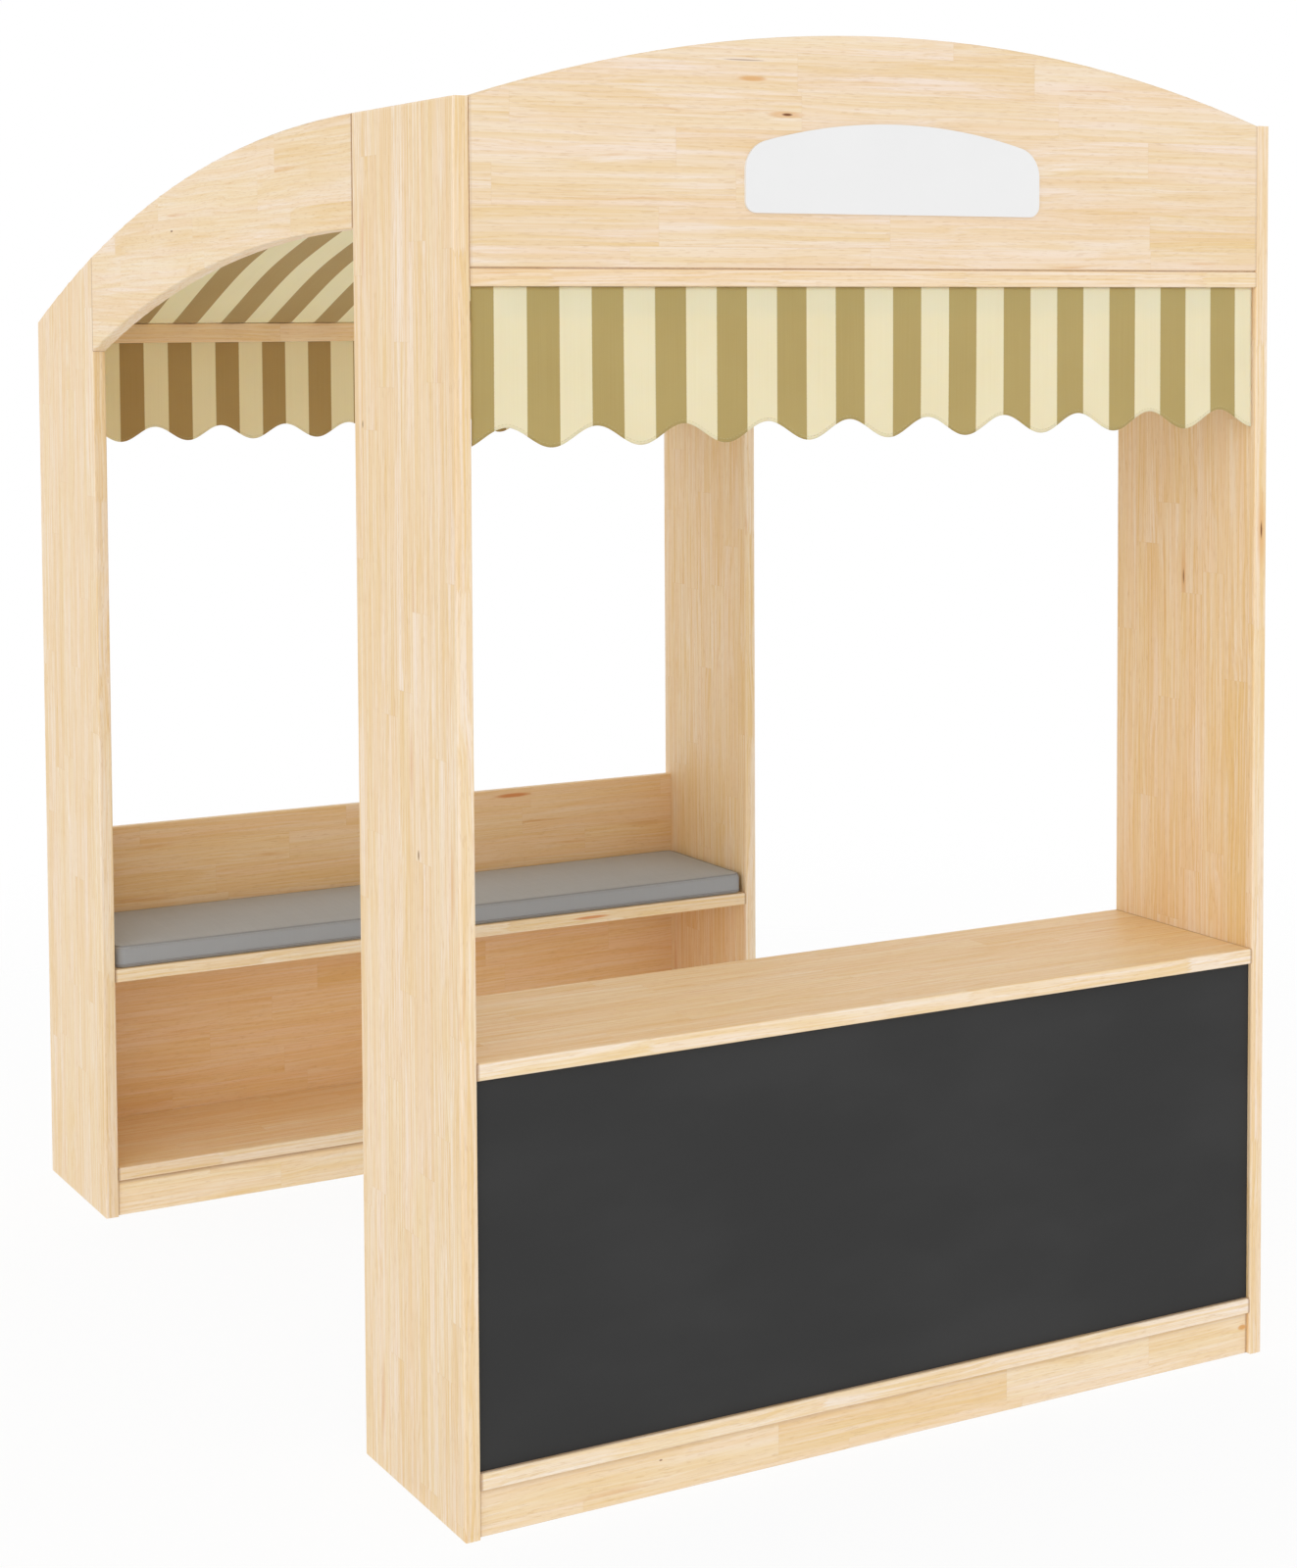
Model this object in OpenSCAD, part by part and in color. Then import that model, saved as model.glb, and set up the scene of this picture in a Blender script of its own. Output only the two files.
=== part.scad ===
// Toy market stall: a counter unit and a bench unit under one curved striped roof.
// Millimetres, +Z up, front of the stall at -Y, origin on the floor in the middle.

/* [Overall] */
// Width over the side boards
stall_w = 1050; // [900:10:1200]
// Depth from the front edge of the counter unit to the back edge of the bench unit
stall_d = 1420; // [1250:10:1600]
// Height of the side boards at the front
front_h = 1460; // [1350:5:1600]
// Fall of the roof line from the counter unit to the back edge
roof_fall = 220; // [170:5:260]
// Thickness of the solid wood boards
board_t = 18; // [16:1:22]
// Radius of the eased board edges
edge_ease = 2; // [1:0.5:3]

/* [Counter unit] */
// Depth of the counter unit and of the bench unit
unit_d = 255; // [230:5:290]
// Height of the counter's top face
counter_h = 490; // [440:5:560]
// Height of the plinth under both bottom shelves
plinth_h = 50; // [40:1:70]
// How far the plinths stand back from the board edges
plinth_setback = 5; // [3:1:10]
// Thickness of the chalkboard
chalk_t = 9; // [6:1:12]
// How far the chalkboard stands back from the board edges
chalk_setback = 6; // [4:1:12]
// Height of the header at its two ends
header_end_h = 168.8; // [150:0.2:190]
// Depth of the front rail
rail_d = 60; // [50:2:80]
// Height of the shadow groove between the rail and the header
header_gap = 1.2; // [0.5:0.1:2]
// Rise of the header's arched top above the side boards
header_rise = 80; // [50:5:110]

/* [Sign plate] */
// Width of the plate
sign_w = 380; // [300:5:450]
// Height of the plate at its middle
sign_h = 97; // [80:1:110]
// Thickness of the plate
sign_t = 3; // [2:0.5:6]
// Height of the plate's lower edge above the header's lower edge
sign_lift = 58; // [40:1:80]
// Radius of the plate's arched top
sign_top_r = 650; // [600:10:1200]
// Radius of the two upper corners
sign_corner_r = 33; // [20:1:36]
// Radius of the two lower corners
sign_foot_r = 13; // [4:1:16]

/* [Bench unit] */
// Height of the seat board's top face
seat_h = 346; // [300:2:400]
// Height of the top edge of the back panel
back_h = 500; // [440:5:560]
// Thickness of the back panel
back_t = 12; // [9:1:15]
// How far the back panel and the rear rail stand in from the back edge
back_setback = 6; // [4:1:12]
// Height of the rear rail
rear_rail_h = 28; // [24:1:40]

/* [Cushion] */
// Thickness of the cushion at its rim
cushion_h = 28; // [20:1:50]
// How much the middle of the cushion stands above its rim
cushion_crown = 3; // [1:0.5:8]
// Radius of the cushion's boxed edges
cushion_edge_r = 8; // [5:0.5:10]
// How far the cushion's sides draw in between its corners
cushion_draw_in = 2; // [0:0.5:5]
// Gap between the cushion and each side board
cushion_side_gap = 3; // [1:0.5:6]
// Gap between the cushion and the back panel
cushion_back_gap = 7; // [2:1:12]
// How far the cushion stands back from the seat's front edge
cushion_setback = 4; // [0:1:10]

/* [Roof and cloth] */
// Height of the curved side bands
arch_band = 123; // [100:1:150]
// Thickness of the cloth with its hems
cloth_t = 2; // [1:0.25:3]
// How far the roof cloth lies under the roof line
canopy_drop = 3; // [2:0.5:6]
// Gap between the cloth and each side board
cloth_side_gap = 3; // [3:0.5:8]
// Drop of a valance to the middle of its wavy hem
valance_drop = 152; // [120:1:180]
// Length of one wave of the hem
wave_pitch = 102.4; // [80:0.2:130]
// Place of a trough of the hem, measured from the middle
wave_trough_x = -5.2; // [-40:0.2:40]
// Height of the wave from crest to trough
wave_h = 21; // [10:1:30]
// How far the front valance stands back from the board edges
valance_setback = 5; // [3:1:10]

/* [Hidden] */

// Finishes
wood = "#F1DBB8";
slate = "#3C3C3C";
white = "#EFEFEF";
stripe = "#B09E62";
pad_grey = "#96928C";
tape_white = "#E4E0D4";
zinc = "#B8BABD";
beech = "#D9B98C";

// Smoothness of round shapes
$fn = 48;
arc_fn = 720;

// Clearances and overruns
fit_gap = 0.2;
bore_gap = 0.1;
soft_gap = 0.3;
overrun = 1;

// Places that follow from the driving sizes
inner_w = stall_w - 2 * board_t;
front_y = -stall_d / 2;
rear_y = stall_d / 2;
counter_back_y = front_y + unit_d;
bench_front_y = rear_y - unit_d;
shelf_top = plinth_h + board_t;
header_foot = front_h - header_end_h;
rail_top = header_foot - header_gap;
rail_h = rail_top - board_t;
back_rear_y = rear_y - back_setback;
back_front_y = back_rear_y - back_t;
bench_depth = back_front_y - bench_front_y;

// The roof line: level over the counter unit, then one arc down to the back edge
rear_h = front_h - roof_fall;
roof_run = rear_y - counter_back_y;
roof_r = (roof_run * roof_run + roof_fall * roof_fall) / (2 * roof_fall);
roof_cz = front_h - roof_r;
function roof_z(y, drop) =
    y <= counter_back_y ? front_h - drop
    : roof_cz + sqrt(pow(roof_r - drop, 2) - pow(y - counter_back_y, 2));

// The header's arched top
header_half = inner_w / 2;
header_r = (header_half * header_half + header_rise * header_rise) / (2 * header_rise);
header_cz = front_h + header_rise - header_r;

// Depth of the shadow groove under the header
header_groove_d = 4;

// Grooves that hold the chalkboard and the bench's back panel
groove_depth = 6;
panel_tongue = groove_depth - fit_gap;

// The rear rail stands just under the roof cloth
canopy_under = canopy_drop + cloth_t;
rear_rail_back_y = back_rear_y;
rear_rail_front_y = rear_rail_back_y - board_t;
rear_rail_top = roof_z(rear_rail_back_y, canopy_under) - soft_gap;

// Cloth widths, flaps and the strips that hold them
cloth_w = inner_w - 2 * cloth_side_gap;
tape_t = 1.6;
tape_w = 16;
side_flap_h = 22;
end_flap_h = 20;
rear_flap_h = 10;
batten_h = 30;
batten_d = 18;
batten_end_gap = 40;
valance_front_y = front_y + valance_setback;
batten_front_y = valance_front_y + cloth_t + tape_t;
rear_valance_y = rear_rail_back_y + tape_t;
rear_valance_top = rear_rail_top - rear_flap_h - fit_gap;
wave_steps = 12;

// Knock-down fittings: a bolt in the upright's face and a cam in the board
cam_reach = 34;
cam_d = 15;
cam_depth = 13.5;
cam_slot = 7.6;
cam_recess_w = 1.4;
cam_recess_l = 9;
cam_recess_h = 2;
bolt_d = 7;
bolt_thread_d = 5;
bolt_thread_l = 11;
cam_inset = 50;

// Wooden dowels
dowel_d = 8;
dowel_l = 30;
dowel_in_face = 11;
dowel_pair_share = 0.28;

// Cross boards fixed to the uprights' inner faces: [y, z, way the cam faces]
counter_mid_z = counter_h - board_t / 2;
shelf_mid_z = plinth_h + board_t / 2;
rail_mid_z = rail_h + board_t / 2;
seat_mid_z = seat_h - board_t / 2;
header_mid_y = front_y + board_t / 2;
header_cam_share = 0.27;
down = [180, 0, 0];
back = [-90, 0, 0];
front_cam_ys = [front_y + cam_inset, counter_back_y - cam_inset];
bench_cam_ys = [bench_front_y + cam_inset, back_front_y - cam_inset];
header_cam_zs = [
    header_foot + header_end_h * header_cam_share,
    front_h - header_end_h * header_cam_share
];
counter_cams = [for (y = front_cam_ys) [y, counter_mid_z, down]];
front_shelf_cams = [for (y = front_cam_ys) [y, shelf_mid_z, down]];
rail_cams = [[front_y + rail_d / 2 + dowel_d, rail_mid_z, down]];
header_cams = [for (z = header_cam_zs) [header_mid_y, z, back]];
seat_cams = [for (y = bench_cam_ys) [y, seat_mid_z, down]];
bench_shelf_cams = [for (y = bench_cam_ys) [y, shelf_mid_z, down]];
front_cams = concat(counter_cams, front_shelf_cams, rail_cams, header_cams);
bench_cams = concat(seat_cams, bench_shelf_cams);

// Dowels across the uprights' inner faces: [y, z]
front_mid_y = front_y + unit_d / 2;
bench_mid_y = bench_front_y + bench_depth / 2;
plinth_mid_y = plinth_setback + board_t / 2;
plinth_dowel_zs = [plinth_h * dowel_pair_share, plinth_h * (1 - dowel_pair_share)];
rear_rail_zs = [
    rear_rail_top - rear_rail_h * dowel_pair_share,
    rear_rail_top - rear_rail_h * (1 - dowel_pair_share)
];
rear_rail_mid_y = rear_rail_back_y - board_t / 2;
counter_dowels = [[front_mid_y, counter_mid_z]];
front_shelf_dowels = [[front_mid_y, shelf_mid_z]];
rail_dowels = [[front_y + dowel_d + board_t / 2, rail_mid_z]];
header_dowels = [[header_mid_y, header_foot + header_end_h / 2]];
front_plinth_dowels = [for (z = plinth_dowel_zs) [front_y + plinth_mid_y, z]];
seat_dowels = [[bench_mid_y, seat_mid_z]];
bench_shelf_dowels = [[bench_mid_y, shelf_mid_z]];
bench_plinth_dowels = [for (z = plinth_dowel_zs) [bench_front_y + plinth_mid_y, z]];
rear_rail_dowels = [for (z = rear_rail_zs) [rear_rail_mid_y, z]];
front_dowels = concat(
    counter_dowels, front_shelf_dowels, rail_dowels, header_dowels, front_plinth_dowels
);
bench_dowels = concat(
    seat_dowels, bench_shelf_dowels, bench_plinth_dowels, rear_rail_dowels
);

// Arch ends: [y of the joint, way the arch lies, share of the band's height from its top]
arch_cam_shares = [0.3, 0.7];
arch_dowel_shares = [0.5];
arch_ends = [[counter_back_y, 1], [bench_front_y, -1]];
arch_mid_x = inner_w / 2 + board_t / 2;
function arch_end_z(y, share) =
    roof_z(y, 0) + share * (roof_z(y, arch_band) - roof_z(y, 0));

// Dowels that stand between the front rail and the valance batten
batten_dowel_shares = [-0.4, -0.15, 0.15, 0.4];
batten_w = inner_w - 2 * batten_end_gap;
batten_mid_y = batten_front_y + batten_d / 2;
batten_dowel_in = 10;
batten_dowel_l = 2 * batten_dowel_in;

// Turns a drawing in the side plane into a solid along X
module along_x(length) {
    rotate([90, 0, 90])
        linear_extrude(length)
            children();
}

// Turns a drawing in the front plane into a solid from y to y + depth
module along_y(y, depth) {
    translate([0, y + depth, 0])
        rotate([90, 0, 0])
            linear_extrude(depth)
                children();
}

// Repeats a right-hand shape on the left
module both_sides() {
    children();
    mirror([1, 0, 0])
        children();
}

// Rectangle from the origin with eased corners
module eased_rect(w, d, r = edge_ease) {
    translate([r, 0])
        square([w - 2 * r, d]);
    translate([0, r])
        square([w, d - 2 * r]);
    for (x = [r, w - r], y = [r, d - r])
        translate([x, y])
            circle(r);
}

// Board that spans between the uprights: depth runs from y, height from z
module cross_board(y, z, depth, height) {
    translate([-inner_w / 2, y, z])
        along_x(inner_w)
            eased_rect(depth, height);
}

// Area under the roof line in the side plane, lowered by drop
module under_roof(drop = 0) {
    translate([front_y, 0])
        square([unit_d, front_h - drop]);
    intersection() {
        translate([counter_back_y, 0])
            square([roof_run, front_h]);
        translate([counter_back_y, roof_cz])
            circle(roof_r - drop, $fn = arc_fn);
    }
}

// Strip of the side plane between two drops under the roof line, from y0 to y1
module roof_strip(upper, lower, y0, y1) {
    intersection() {
        difference() {
            under_roof(upper);
            under_roof(lower);
        }
        translate([y0, 0])
            square([y1 - y0, front_h]);
    }
}

// Wheel of board thickness about the roof's centre, from x on, with an eased rim; inner is its bore
module roof_wheel(inner, x) {
    translate([x + board_t, counter_back_y, roof_cz])
        rotate([0, -90, 0])
            rotate_extrude($fn = arc_fn)
                translate([inner, 0])
                    eased_rect(roof_r - inner, board_t);
}

// Bolt along X on the right: thread in the upright, shank in the board
module cam_bolt(gap = 0) {
    rotate([0, 90, 0]) {
        cylinder(d = bolt_thread_d + 2 * gap, h = bolt_thread_l + gap);
        translate([0, 0, -cam_reach])
            cylinder(d = bolt_d + 2 * gap, h = cam_reach);
    }
}

// Cam at the bolt's end, flush with the board's hidden face
module cam_lock(way) {
    translate([-cam_reach, 0, 0])
        rotate(way)
            difference() {
                translate([0, 0, board_t / 2 - cam_depth])
                    cylinder(d = cam_d, h = cam_depth);
                translate([-bore_gap, -cam_slot / 2, -cam_slot / 2])
                    cube([cam_d, cam_slot, cam_slot]);
                for (a = [0, 90])
                    rotate([0, 0, a])
                        translate([-cam_recess_l / 2, -cam_recess_w / 2, board_t / 2 - cam_recess_h])
                            cube([cam_recess_l, cam_recess_w, cam_recess_h + overrun]);
            }
}

// Room in a board for a bolt and its cam
module cam_room(way) {
    cam_bolt(bore_gap);
    translate([-cam_reach, 0, 0])
        rotate(way)
            translate([0, 0, board_t / 2 - cam_depth - bore_gap])
                cylinder(d = cam_d + 2 * bore_gap, h = cam_depth + overrun);
}

// Dowel along X on the right, dowel_in_face of it in the upright
module dowel(gap = 0) {
    translate([dowel_in_face + gap, 0, 0])
        rotate([0, -90, 0])
            cylinder(d = dowel_d + 2 * gap, h = dowel_l + 2 * gap);
}

// Puts children on the right upright's inner face at [y, z]
module on_face(place) {
    translate([inner_w / 2, place[0], place[1]])
        children();
}

// Rooms for the fittings of a cross board, at both of its ends
module cross_rooms(cams, pins) {
    both_sides() {
        for (c = cams)
            on_face(c)
                cam_room(c[2]);
        for (p = pins)
            on_face(p)
                dowel(bore_gap);
    }
}

// Bores for bolts and dowels in the right upright's inner face
module upright_bores(cams, pins) {
    for (c = cams)
        on_face(c)
            cam_bolt(bore_gap);
    for (p = pins)
        on_face(p)
            dowel(bore_gap);
}

// Puts children in the right arch's middle plane at an end joint, turned along Y
module at_arch_end(end, share) {
    translate([arch_mid_x, end[0], arch_end_z(end[0], share)])
        rotate([0, 0, end[1] > 0 ? -90 : 90])
            children();
}

// Which way an arch cam faces: the inner face of the right arch
function arch_cam_way(end) = [end[1] > 0 ? 90 : -90, 0, 0];

// Rooms for the fittings at one end of the right arch, in the arch and in the upright
module arch_end_rooms(end) {
    for (s = arch_cam_shares)
        at_arch_end(end, s)
            cam_room(arch_cam_way(end));
    for (s = arch_dowel_shares)
        at_arch_end(end, s)
            dowel(bore_gap);
}

// Counter unit

module front_upright() {
    difference() {
        intersection() {
            translate([inner_w / 2, front_y, 0])
                linear_extrude(front_h)
                    eased_rect(board_t, unit_d);
            translate([inner_w / 2, 0, 0])
                along_y(front_y, unit_d)
                    eased_rect(board_t, front_h);
        }
        upright_bores(front_cams, front_dowels);
        arch_end_rooms(arch_ends[0]);
        translate([inner_w / 2 - overrun, front_y + chalk_setback - fit_gap / 2, shelf_top])
            cube([groove_depth + overrun, chalk_t + fit_gap, counter_h - board_t - shelf_top]);
    }
}

module front_right_upright() {
    color(wood)
        front_upright();
}

module front_left_upright() {
    color(wood)
        mirror([1, 0, 0])
            front_upright();
}

module counter_top() {
    color(wood)
        difference() {
            cross_board(front_y, counter_h - board_t, unit_d, board_t);
            cross_rooms(counter_cams, counter_dowels);
        }
}

module chalkboard() {
    color(slate)
        translate([-inner_w / 2 - panel_tongue, front_y + chalk_setback, shelf_top])
            cube([
                inner_w + 2 * panel_tongue,
                chalk_t,
                counter_h - board_t - shelf_top - fit_gap
            ]);
}

module front_bottom_shelf() {
    color(wood)
        difference() {
            cross_board(front_y, plinth_h, unit_d, board_t);
            cross_rooms(front_shelf_cams, front_shelf_dowels);
        }
}

module plinth(y, pins) {
    color(wood)
        difference() {
            cross_board(y + plinth_setback, 0, board_t, plinth_h);
            cross_rooms([], pins);
        }
}

module front_plinth() {
    plinth(front_y, front_plinth_dowels);
}

module front_rail() {
    color(wood)
        difference() {
            cross_board(front_y, rail_h, rail_d, board_t);
            cross_rooms(rail_cams, rail_dowels);
            batten_dowels(bore_gap);
        }
}

// Behind its shadow groove the header stands on the rail
module header_tongue() {
    translate([-inner_w / 2, front_y + header_groove_d, rail_top])
        cube([inner_w, board_t - header_groove_d - edge_ease, header_gap + edge_ease]);
}

module header_panel() {
    color(wood)
        difference() {
            union() {
                intersection() {
                    cross_board(front_y, header_foot, board_t, front_h + header_rise);
                    translate([0, front_y + board_t, header_cz])
                        rotate([90, 0, 0])
                            rotate_extrude($fn = arc_fn)
                                difference() {
                                    translate([-header_r, 0])
                                        eased_rect(2 * header_r, board_t);
                                    translate([-header_r, 0])
                                        square([header_r, board_t]);
                                }
                }
                header_tongue();
            }
            cross_rooms(header_cams, header_dowels);
        }
}

// Outline of the sign plate: straight sides, arched top and rounded corners
module sign_outline() {
    corner_x = sign_w / 2 - sign_corner_r;
    foot_x = sign_w / 2 - sign_foot_r;
    top_cz = sign_h - sign_top_r;
    reach = sign_top_r - sign_corner_r;
    corner_z = top_cz + sqrt(reach * reach - corner_x * corner_x);
    intersection() {
        translate([0, top_cz])
            circle(sign_top_r, $fn = arc_fn);
        translate([0, top_cz])
            polygon([
                [0, 0],
                [2 * corner_x, 2 * (corner_z - top_cz)],
                [-2 * corner_x, 2 * (corner_z - top_cz)]
            ]);
        translate([-sign_w / 2, sign_foot_r])
            square([sign_w, sign_h]);
    }
    for (x = [-corner_x, corner_x])
        translate([x, corner_z])
            circle(sign_corner_r);
    for (x = [-foot_x, foot_x])
        translate([x, sign_foot_r])
            circle(sign_foot_r);
    translate([-sign_w / 2, sign_foot_r])
        square([sign_w, corner_z - sign_foot_r]);
    translate([-foot_x, 0])
        square([2 * foot_x, corner_z]);
}

module sign_plate() {
    color(white)
        translate([0, 0, header_foot + sign_lift])
            along_y(front_y - sign_t, sign_t)
                sign_outline();
}

// Dowels that stand half in the front rail and half in the valance batten
module batten_dowels(gap = 0) {
    for (s = batten_dowel_shares)
        translate([s * batten_w, batten_mid_y, rail_h - batten_dowel_in - gap])
            cylinder(d = dowel_d + 2 * gap, h = batten_dowel_l + 2 * gap);
}

module valance_batten() {
    color(wood)
        difference() {
            translate([-batten_w / 2, batten_front_y, rail_h - batten_h])
                cube([batten_w, batten_d, batten_h]);
            batten_dowels(bore_gap);
        }
}

// Outline of a valance, hung from the origin, with the wave of its hem as a formula
module valance_outline() {
    count = ceil(cloth_w / wave_pitch * wave_steps);
    step = cloth_w / count;
    hem = [
        for (i = [0:count])
            let (x = -cloth_w / 2 + i * step)
                [x, -valance_drop - wave_h / 2 * cos(360 * (x - wave_trough_x) / wave_pitch)]
    ];
    polygon(concat([[cloth_w / 2, 0], [-cloth_w / 2, 0]], hem));
}

module valance(y, z) {
    color(stripe)
        translate([0, 0, z])
            along_y(y, cloth_t)
                valance_outline();
}

module front_valance() {
    valance(valance_front_y, rail_h - fit_gap);
}

// Bench unit

module rear_upright() {
    groove_foot = plinth_h;
    difference() {
        intersection() {
            translate([inner_w / 2, bench_front_y, 0])
                linear_extrude(front_h)
                    eased_rect(board_t, unit_d);
            roof_wheel(0, inner_w / 2);
        }
        upright_bores(bench_cams, bench_dowels);
        arch_end_rooms(arch_ends[1]);
        translate([inner_w / 2 - overrun, back_front_y - fit_gap / 2, groove_foot])
            cube([groove_depth + overrun, back_t + fit_gap, back_h - groove_foot]);
    }
}

module rear_right_upright() {
    color(wood)
        rear_upright();
}

module rear_left_upright() {
    color(wood)
        mirror([1, 0, 0])
            rear_upright();
}

module bench_seat() {
    color(wood)
        difference() {
            cross_board(bench_front_y, seat_h - board_t, bench_depth, board_t);
            cross_rooms(seat_cams, seat_dowels);
        }
}

module bench_back() {
    panel_w = inner_w + 2 * panel_tongue;
    color(wood)
        translate([-panel_w / 2, back_front_y, plinth_h])
            along_x(panel_w)
                eased_rect(back_t, back_h - plinth_h);
}

module bench_bottom_shelf() {
    color(wood)
        difference() {
            cross_board(bench_front_y, plinth_h, bench_depth, board_t);
            cross_rooms(bench_shelf_cams, bench_shelf_dowels);
        }
}

module bench_plinth() {
    plinth(bench_front_y, bench_plinth_dowels);
}

module rear_rail() {
    color(wood)
        difference() {
            cross_board(rear_rail_front_y, rear_rail_top - rear_rail_h, board_t, rear_rail_h);
            cross_rooms([], rear_rail_dowels);
        }
}

// The same cut as the front valance, turned to face the back
module rear_valance() {
    mirror([1, 0, 0])
        valance(rear_valance_y, rear_valance_top);
}

// Cushion: rings of one rounded rectangle, from the flat foot over the rim to the crown

cushion_w = inner_w - 2 * cushion_side_gap;
cushion_d = bench_depth - cushion_setback - cushion_back_gap;
cushion_mid_y = bench_front_y + cushion_setback + cushion_d / 2;
cushion_corner_r = 14;
corner_steps = 5;
side_steps = 10;
edge_steps = 4;
crown_shares = [0.2, 0.45, 0.7, 0.9, 0.98];

// Plan of the cushion as one loop of points, drawn in along its sides
function side_sink(share) = cushion_draw_in * sin(180 * share);
function long_side(sign) = [
    for (i = [1:side_steps - 1])
        let (s = i / side_steps)
            [
                sign * (cushion_w / 2 - cushion_corner_r) * (1 - 2 * s),
                sign * (cushion_d / 2 - side_sink(s))
            ]
];
function short_side(sign) = [
    for (i = [1:edge_steps - 1])
        let (s = i / edge_steps)
            [
                -sign * (cushion_w / 2 - side_sink(s)),
                sign * (cushion_d / 2 - cushion_corner_r) * (1 - 2 * s)
            ]
];
function corner(sx, sy, start) = [
    for (i = [0:corner_steps])
        let (a = start + 90 * i / corner_steps)
            [
                sx * (cushion_w / 2 - cushion_corner_r) + cushion_corner_r * cos(a),
                sy * (cushion_d / 2 - cushion_corner_r) + cushion_corner_r * sin(a)
            ]
];
cushion_plan = concat(
    corner(1, 1, 0), long_side(1), corner(-1, 1, 90), short_side(1),
    corner(-1, -1, 180), long_side(-1), corner(1, -1, 270), short_side(-1)
);

// Rings as [inset, height]: the lower edge, the upper edge, then the crown
function edge_ring(i, z0, way) =
    let (a = 90 * i / edge_steps)
        [
            cushion_edge_r * (1 - (way > 0 ? cos(a) : sin(a))),
            z0 + (way > 0 ? sin(a) : -cos(a)) * cushion_edge_r
        ];
cushion_rings = concat(
    [for (i = [0:edge_steps]) edge_ring(i, cushion_edge_r, -1)],
    [for (i = [0:edge_steps]) edge_ring(i, cushion_h - cushion_edge_r, 1)],
    [
        for (s = crown_shares)
            [
                cushion_edge_r + s * (cushion_d / 2 - cushion_edge_r),
                cushion_h + cushion_crown * sin(90 * s)
            ]
    ]
);
function ring_points(ring) = [
    for (p = cushion_plan)
        [
            p[0] * (1 - ring[0] / (cushion_w / 2)),
            p[1] * (1 - ring[0] / (cushion_d / 2)),
            ring[1]
        ]
];

module seat_cushion() {
    n = len(cushion_plan);
    m = len(cushion_rings);
    points = [for (r = cushion_rings) each ring_points(r)];
    walls = [
        for (k = [0:m - 2], i = [0:n - 1])
            let (a = k * n + i, b = k * n + (i + 1) % n)
                each [[a, a + n, b], [b, a + n, b + n]]
    ];
    foot = [[for (i = [0:n - 1]) i]];
    top = [[for (i = [n - 1:-1:0]) (m - 1) * n + i]];
    color(pad_grey)
        translate([0, cushion_mid_y, seat_h + soft_gap])
            polyhedron(points, concat(walls, foot, top));
}

// Roof

// Curved band from x on, before its bores
module arch_blank(x) {
    intersection() {
        roof_wheel(roof_r - arch_band, x);
        translate([-stall_w / 2 - overrun, counter_back_y, rear_h - arch_band])
            cube([stall_w + 2 * overrun, bench_front_y - counter_back_y, front_h]);
    }
}

module right_arch() {
    color(wood)
        difference() {
            arch_blank(inner_w / 2);
            for (end = arch_ends)
                arch_end_rooms(end);
        }
}

module left_arch() {
    color(wood)
        difference() {
            arch_blank(-stall_w / 2);
            mirror([1, 0, 0])
                for (end = arch_ends)
                    arch_end_rooms(end);
        }
}

// Flap of cloth that hangs down at one end of the roof
module end_flap(y, z, height) {
    translate([-cloth_w / 2, y, z - height])
        cube([cloth_w, cloth_t, height]);
}

canopy_front_y = front_y + board_t + tape_t;
canopy_rear_y = rear_valance_y + cloth_t;
rear_flap_top = roof_z(canopy_rear_y, canopy_drop);
rear_flap_foot = rear_rail_top - rear_flap_h;

module roof_canopy() {
    color(stripe) {
        translate([-cloth_w / 2, 0, 0])
            along_x(cloth_w)
                roof_strip(canopy_drop, canopy_under, canopy_front_y, canopy_rear_y);
        both_sides()
            translate([cloth_w / 2 - cloth_t, 0, 0])
                along_x(cloth_t)
                    roof_strip(canopy_drop, side_flap_h, canopy_front_y, rear_rail_front_y - soft_gap);
        end_flap(canopy_front_y, front_h - canopy_drop, end_flap_h);
        end_flap(rear_valance_y, rear_flap_top, rear_flap_top - rear_flap_foot);
    }
}

module canopy_side_tapes() {
    tape_room = cloth_side_gap - fit_gap;
    color(tape_white)
        both_sides()
            translate([inner_w / 2 - tape_room, 0, 0])
                along_x(tape_room)
                    roof_strip(
                        canopy_under, canopy_under + tape_w, canopy_front_y, rear_rail_front_y - soft_gap
                    );
}

module canopy_end_tapes() {
    color(tape_white) {
        translate([-cloth_w / 2, front_y + board_t, front_h - canopy_drop - end_flap_h])
            cube([cloth_w, tape_t, tape_w]);
        translate([-cloth_w / 2, rear_rail_back_y, rear_flap_foot])
            cube([cloth_w, tape_t, rear_flap_h - soft_gap]);
    }
}

module valance_tapes() {
    color(tape_white) {
        translate([-batten_w / 2, batten_front_y - tape_t, rail_h - tape_w])
            cube([batten_w, tape_t, tape_w - fit_gap]);
        translate([-cloth_w / 2, rear_rail_back_y, rear_valance_top - tape_w])
            cube([cloth_w, tape_t, tape_w - fit_gap]);
    }
}

// Fittings

module cam_bolts() {
    color(zinc)
        both_sides() {
            for (c = concat(front_cams, bench_cams))
                on_face(c)
                    cam_bolt();
            for (end = arch_ends, s = arch_cam_shares)
                at_arch_end(end, s)
                    cam_bolt();
        }
}

module cam_locks() {
    color(zinc)
        both_sides() {
            for (c = concat(front_cams, bench_cams))
                on_face(c)
                    cam_lock(c[2]);
            for (end = arch_ends, s = arch_cam_shares)
                at_arch_end(end, s)
                    cam_lock(arch_cam_way(end));
        }
}

module dowels() {
    color(beech) {
        both_sides() {
            for (p = concat(front_dowels, bench_dowels))
                on_face(p)
                    dowel();
            for (end = arch_ends, s = arch_dowel_shares)
                at_arch_end(end, s)
                    dowel();
        }
        batten_dowels();
    }
}

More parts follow.
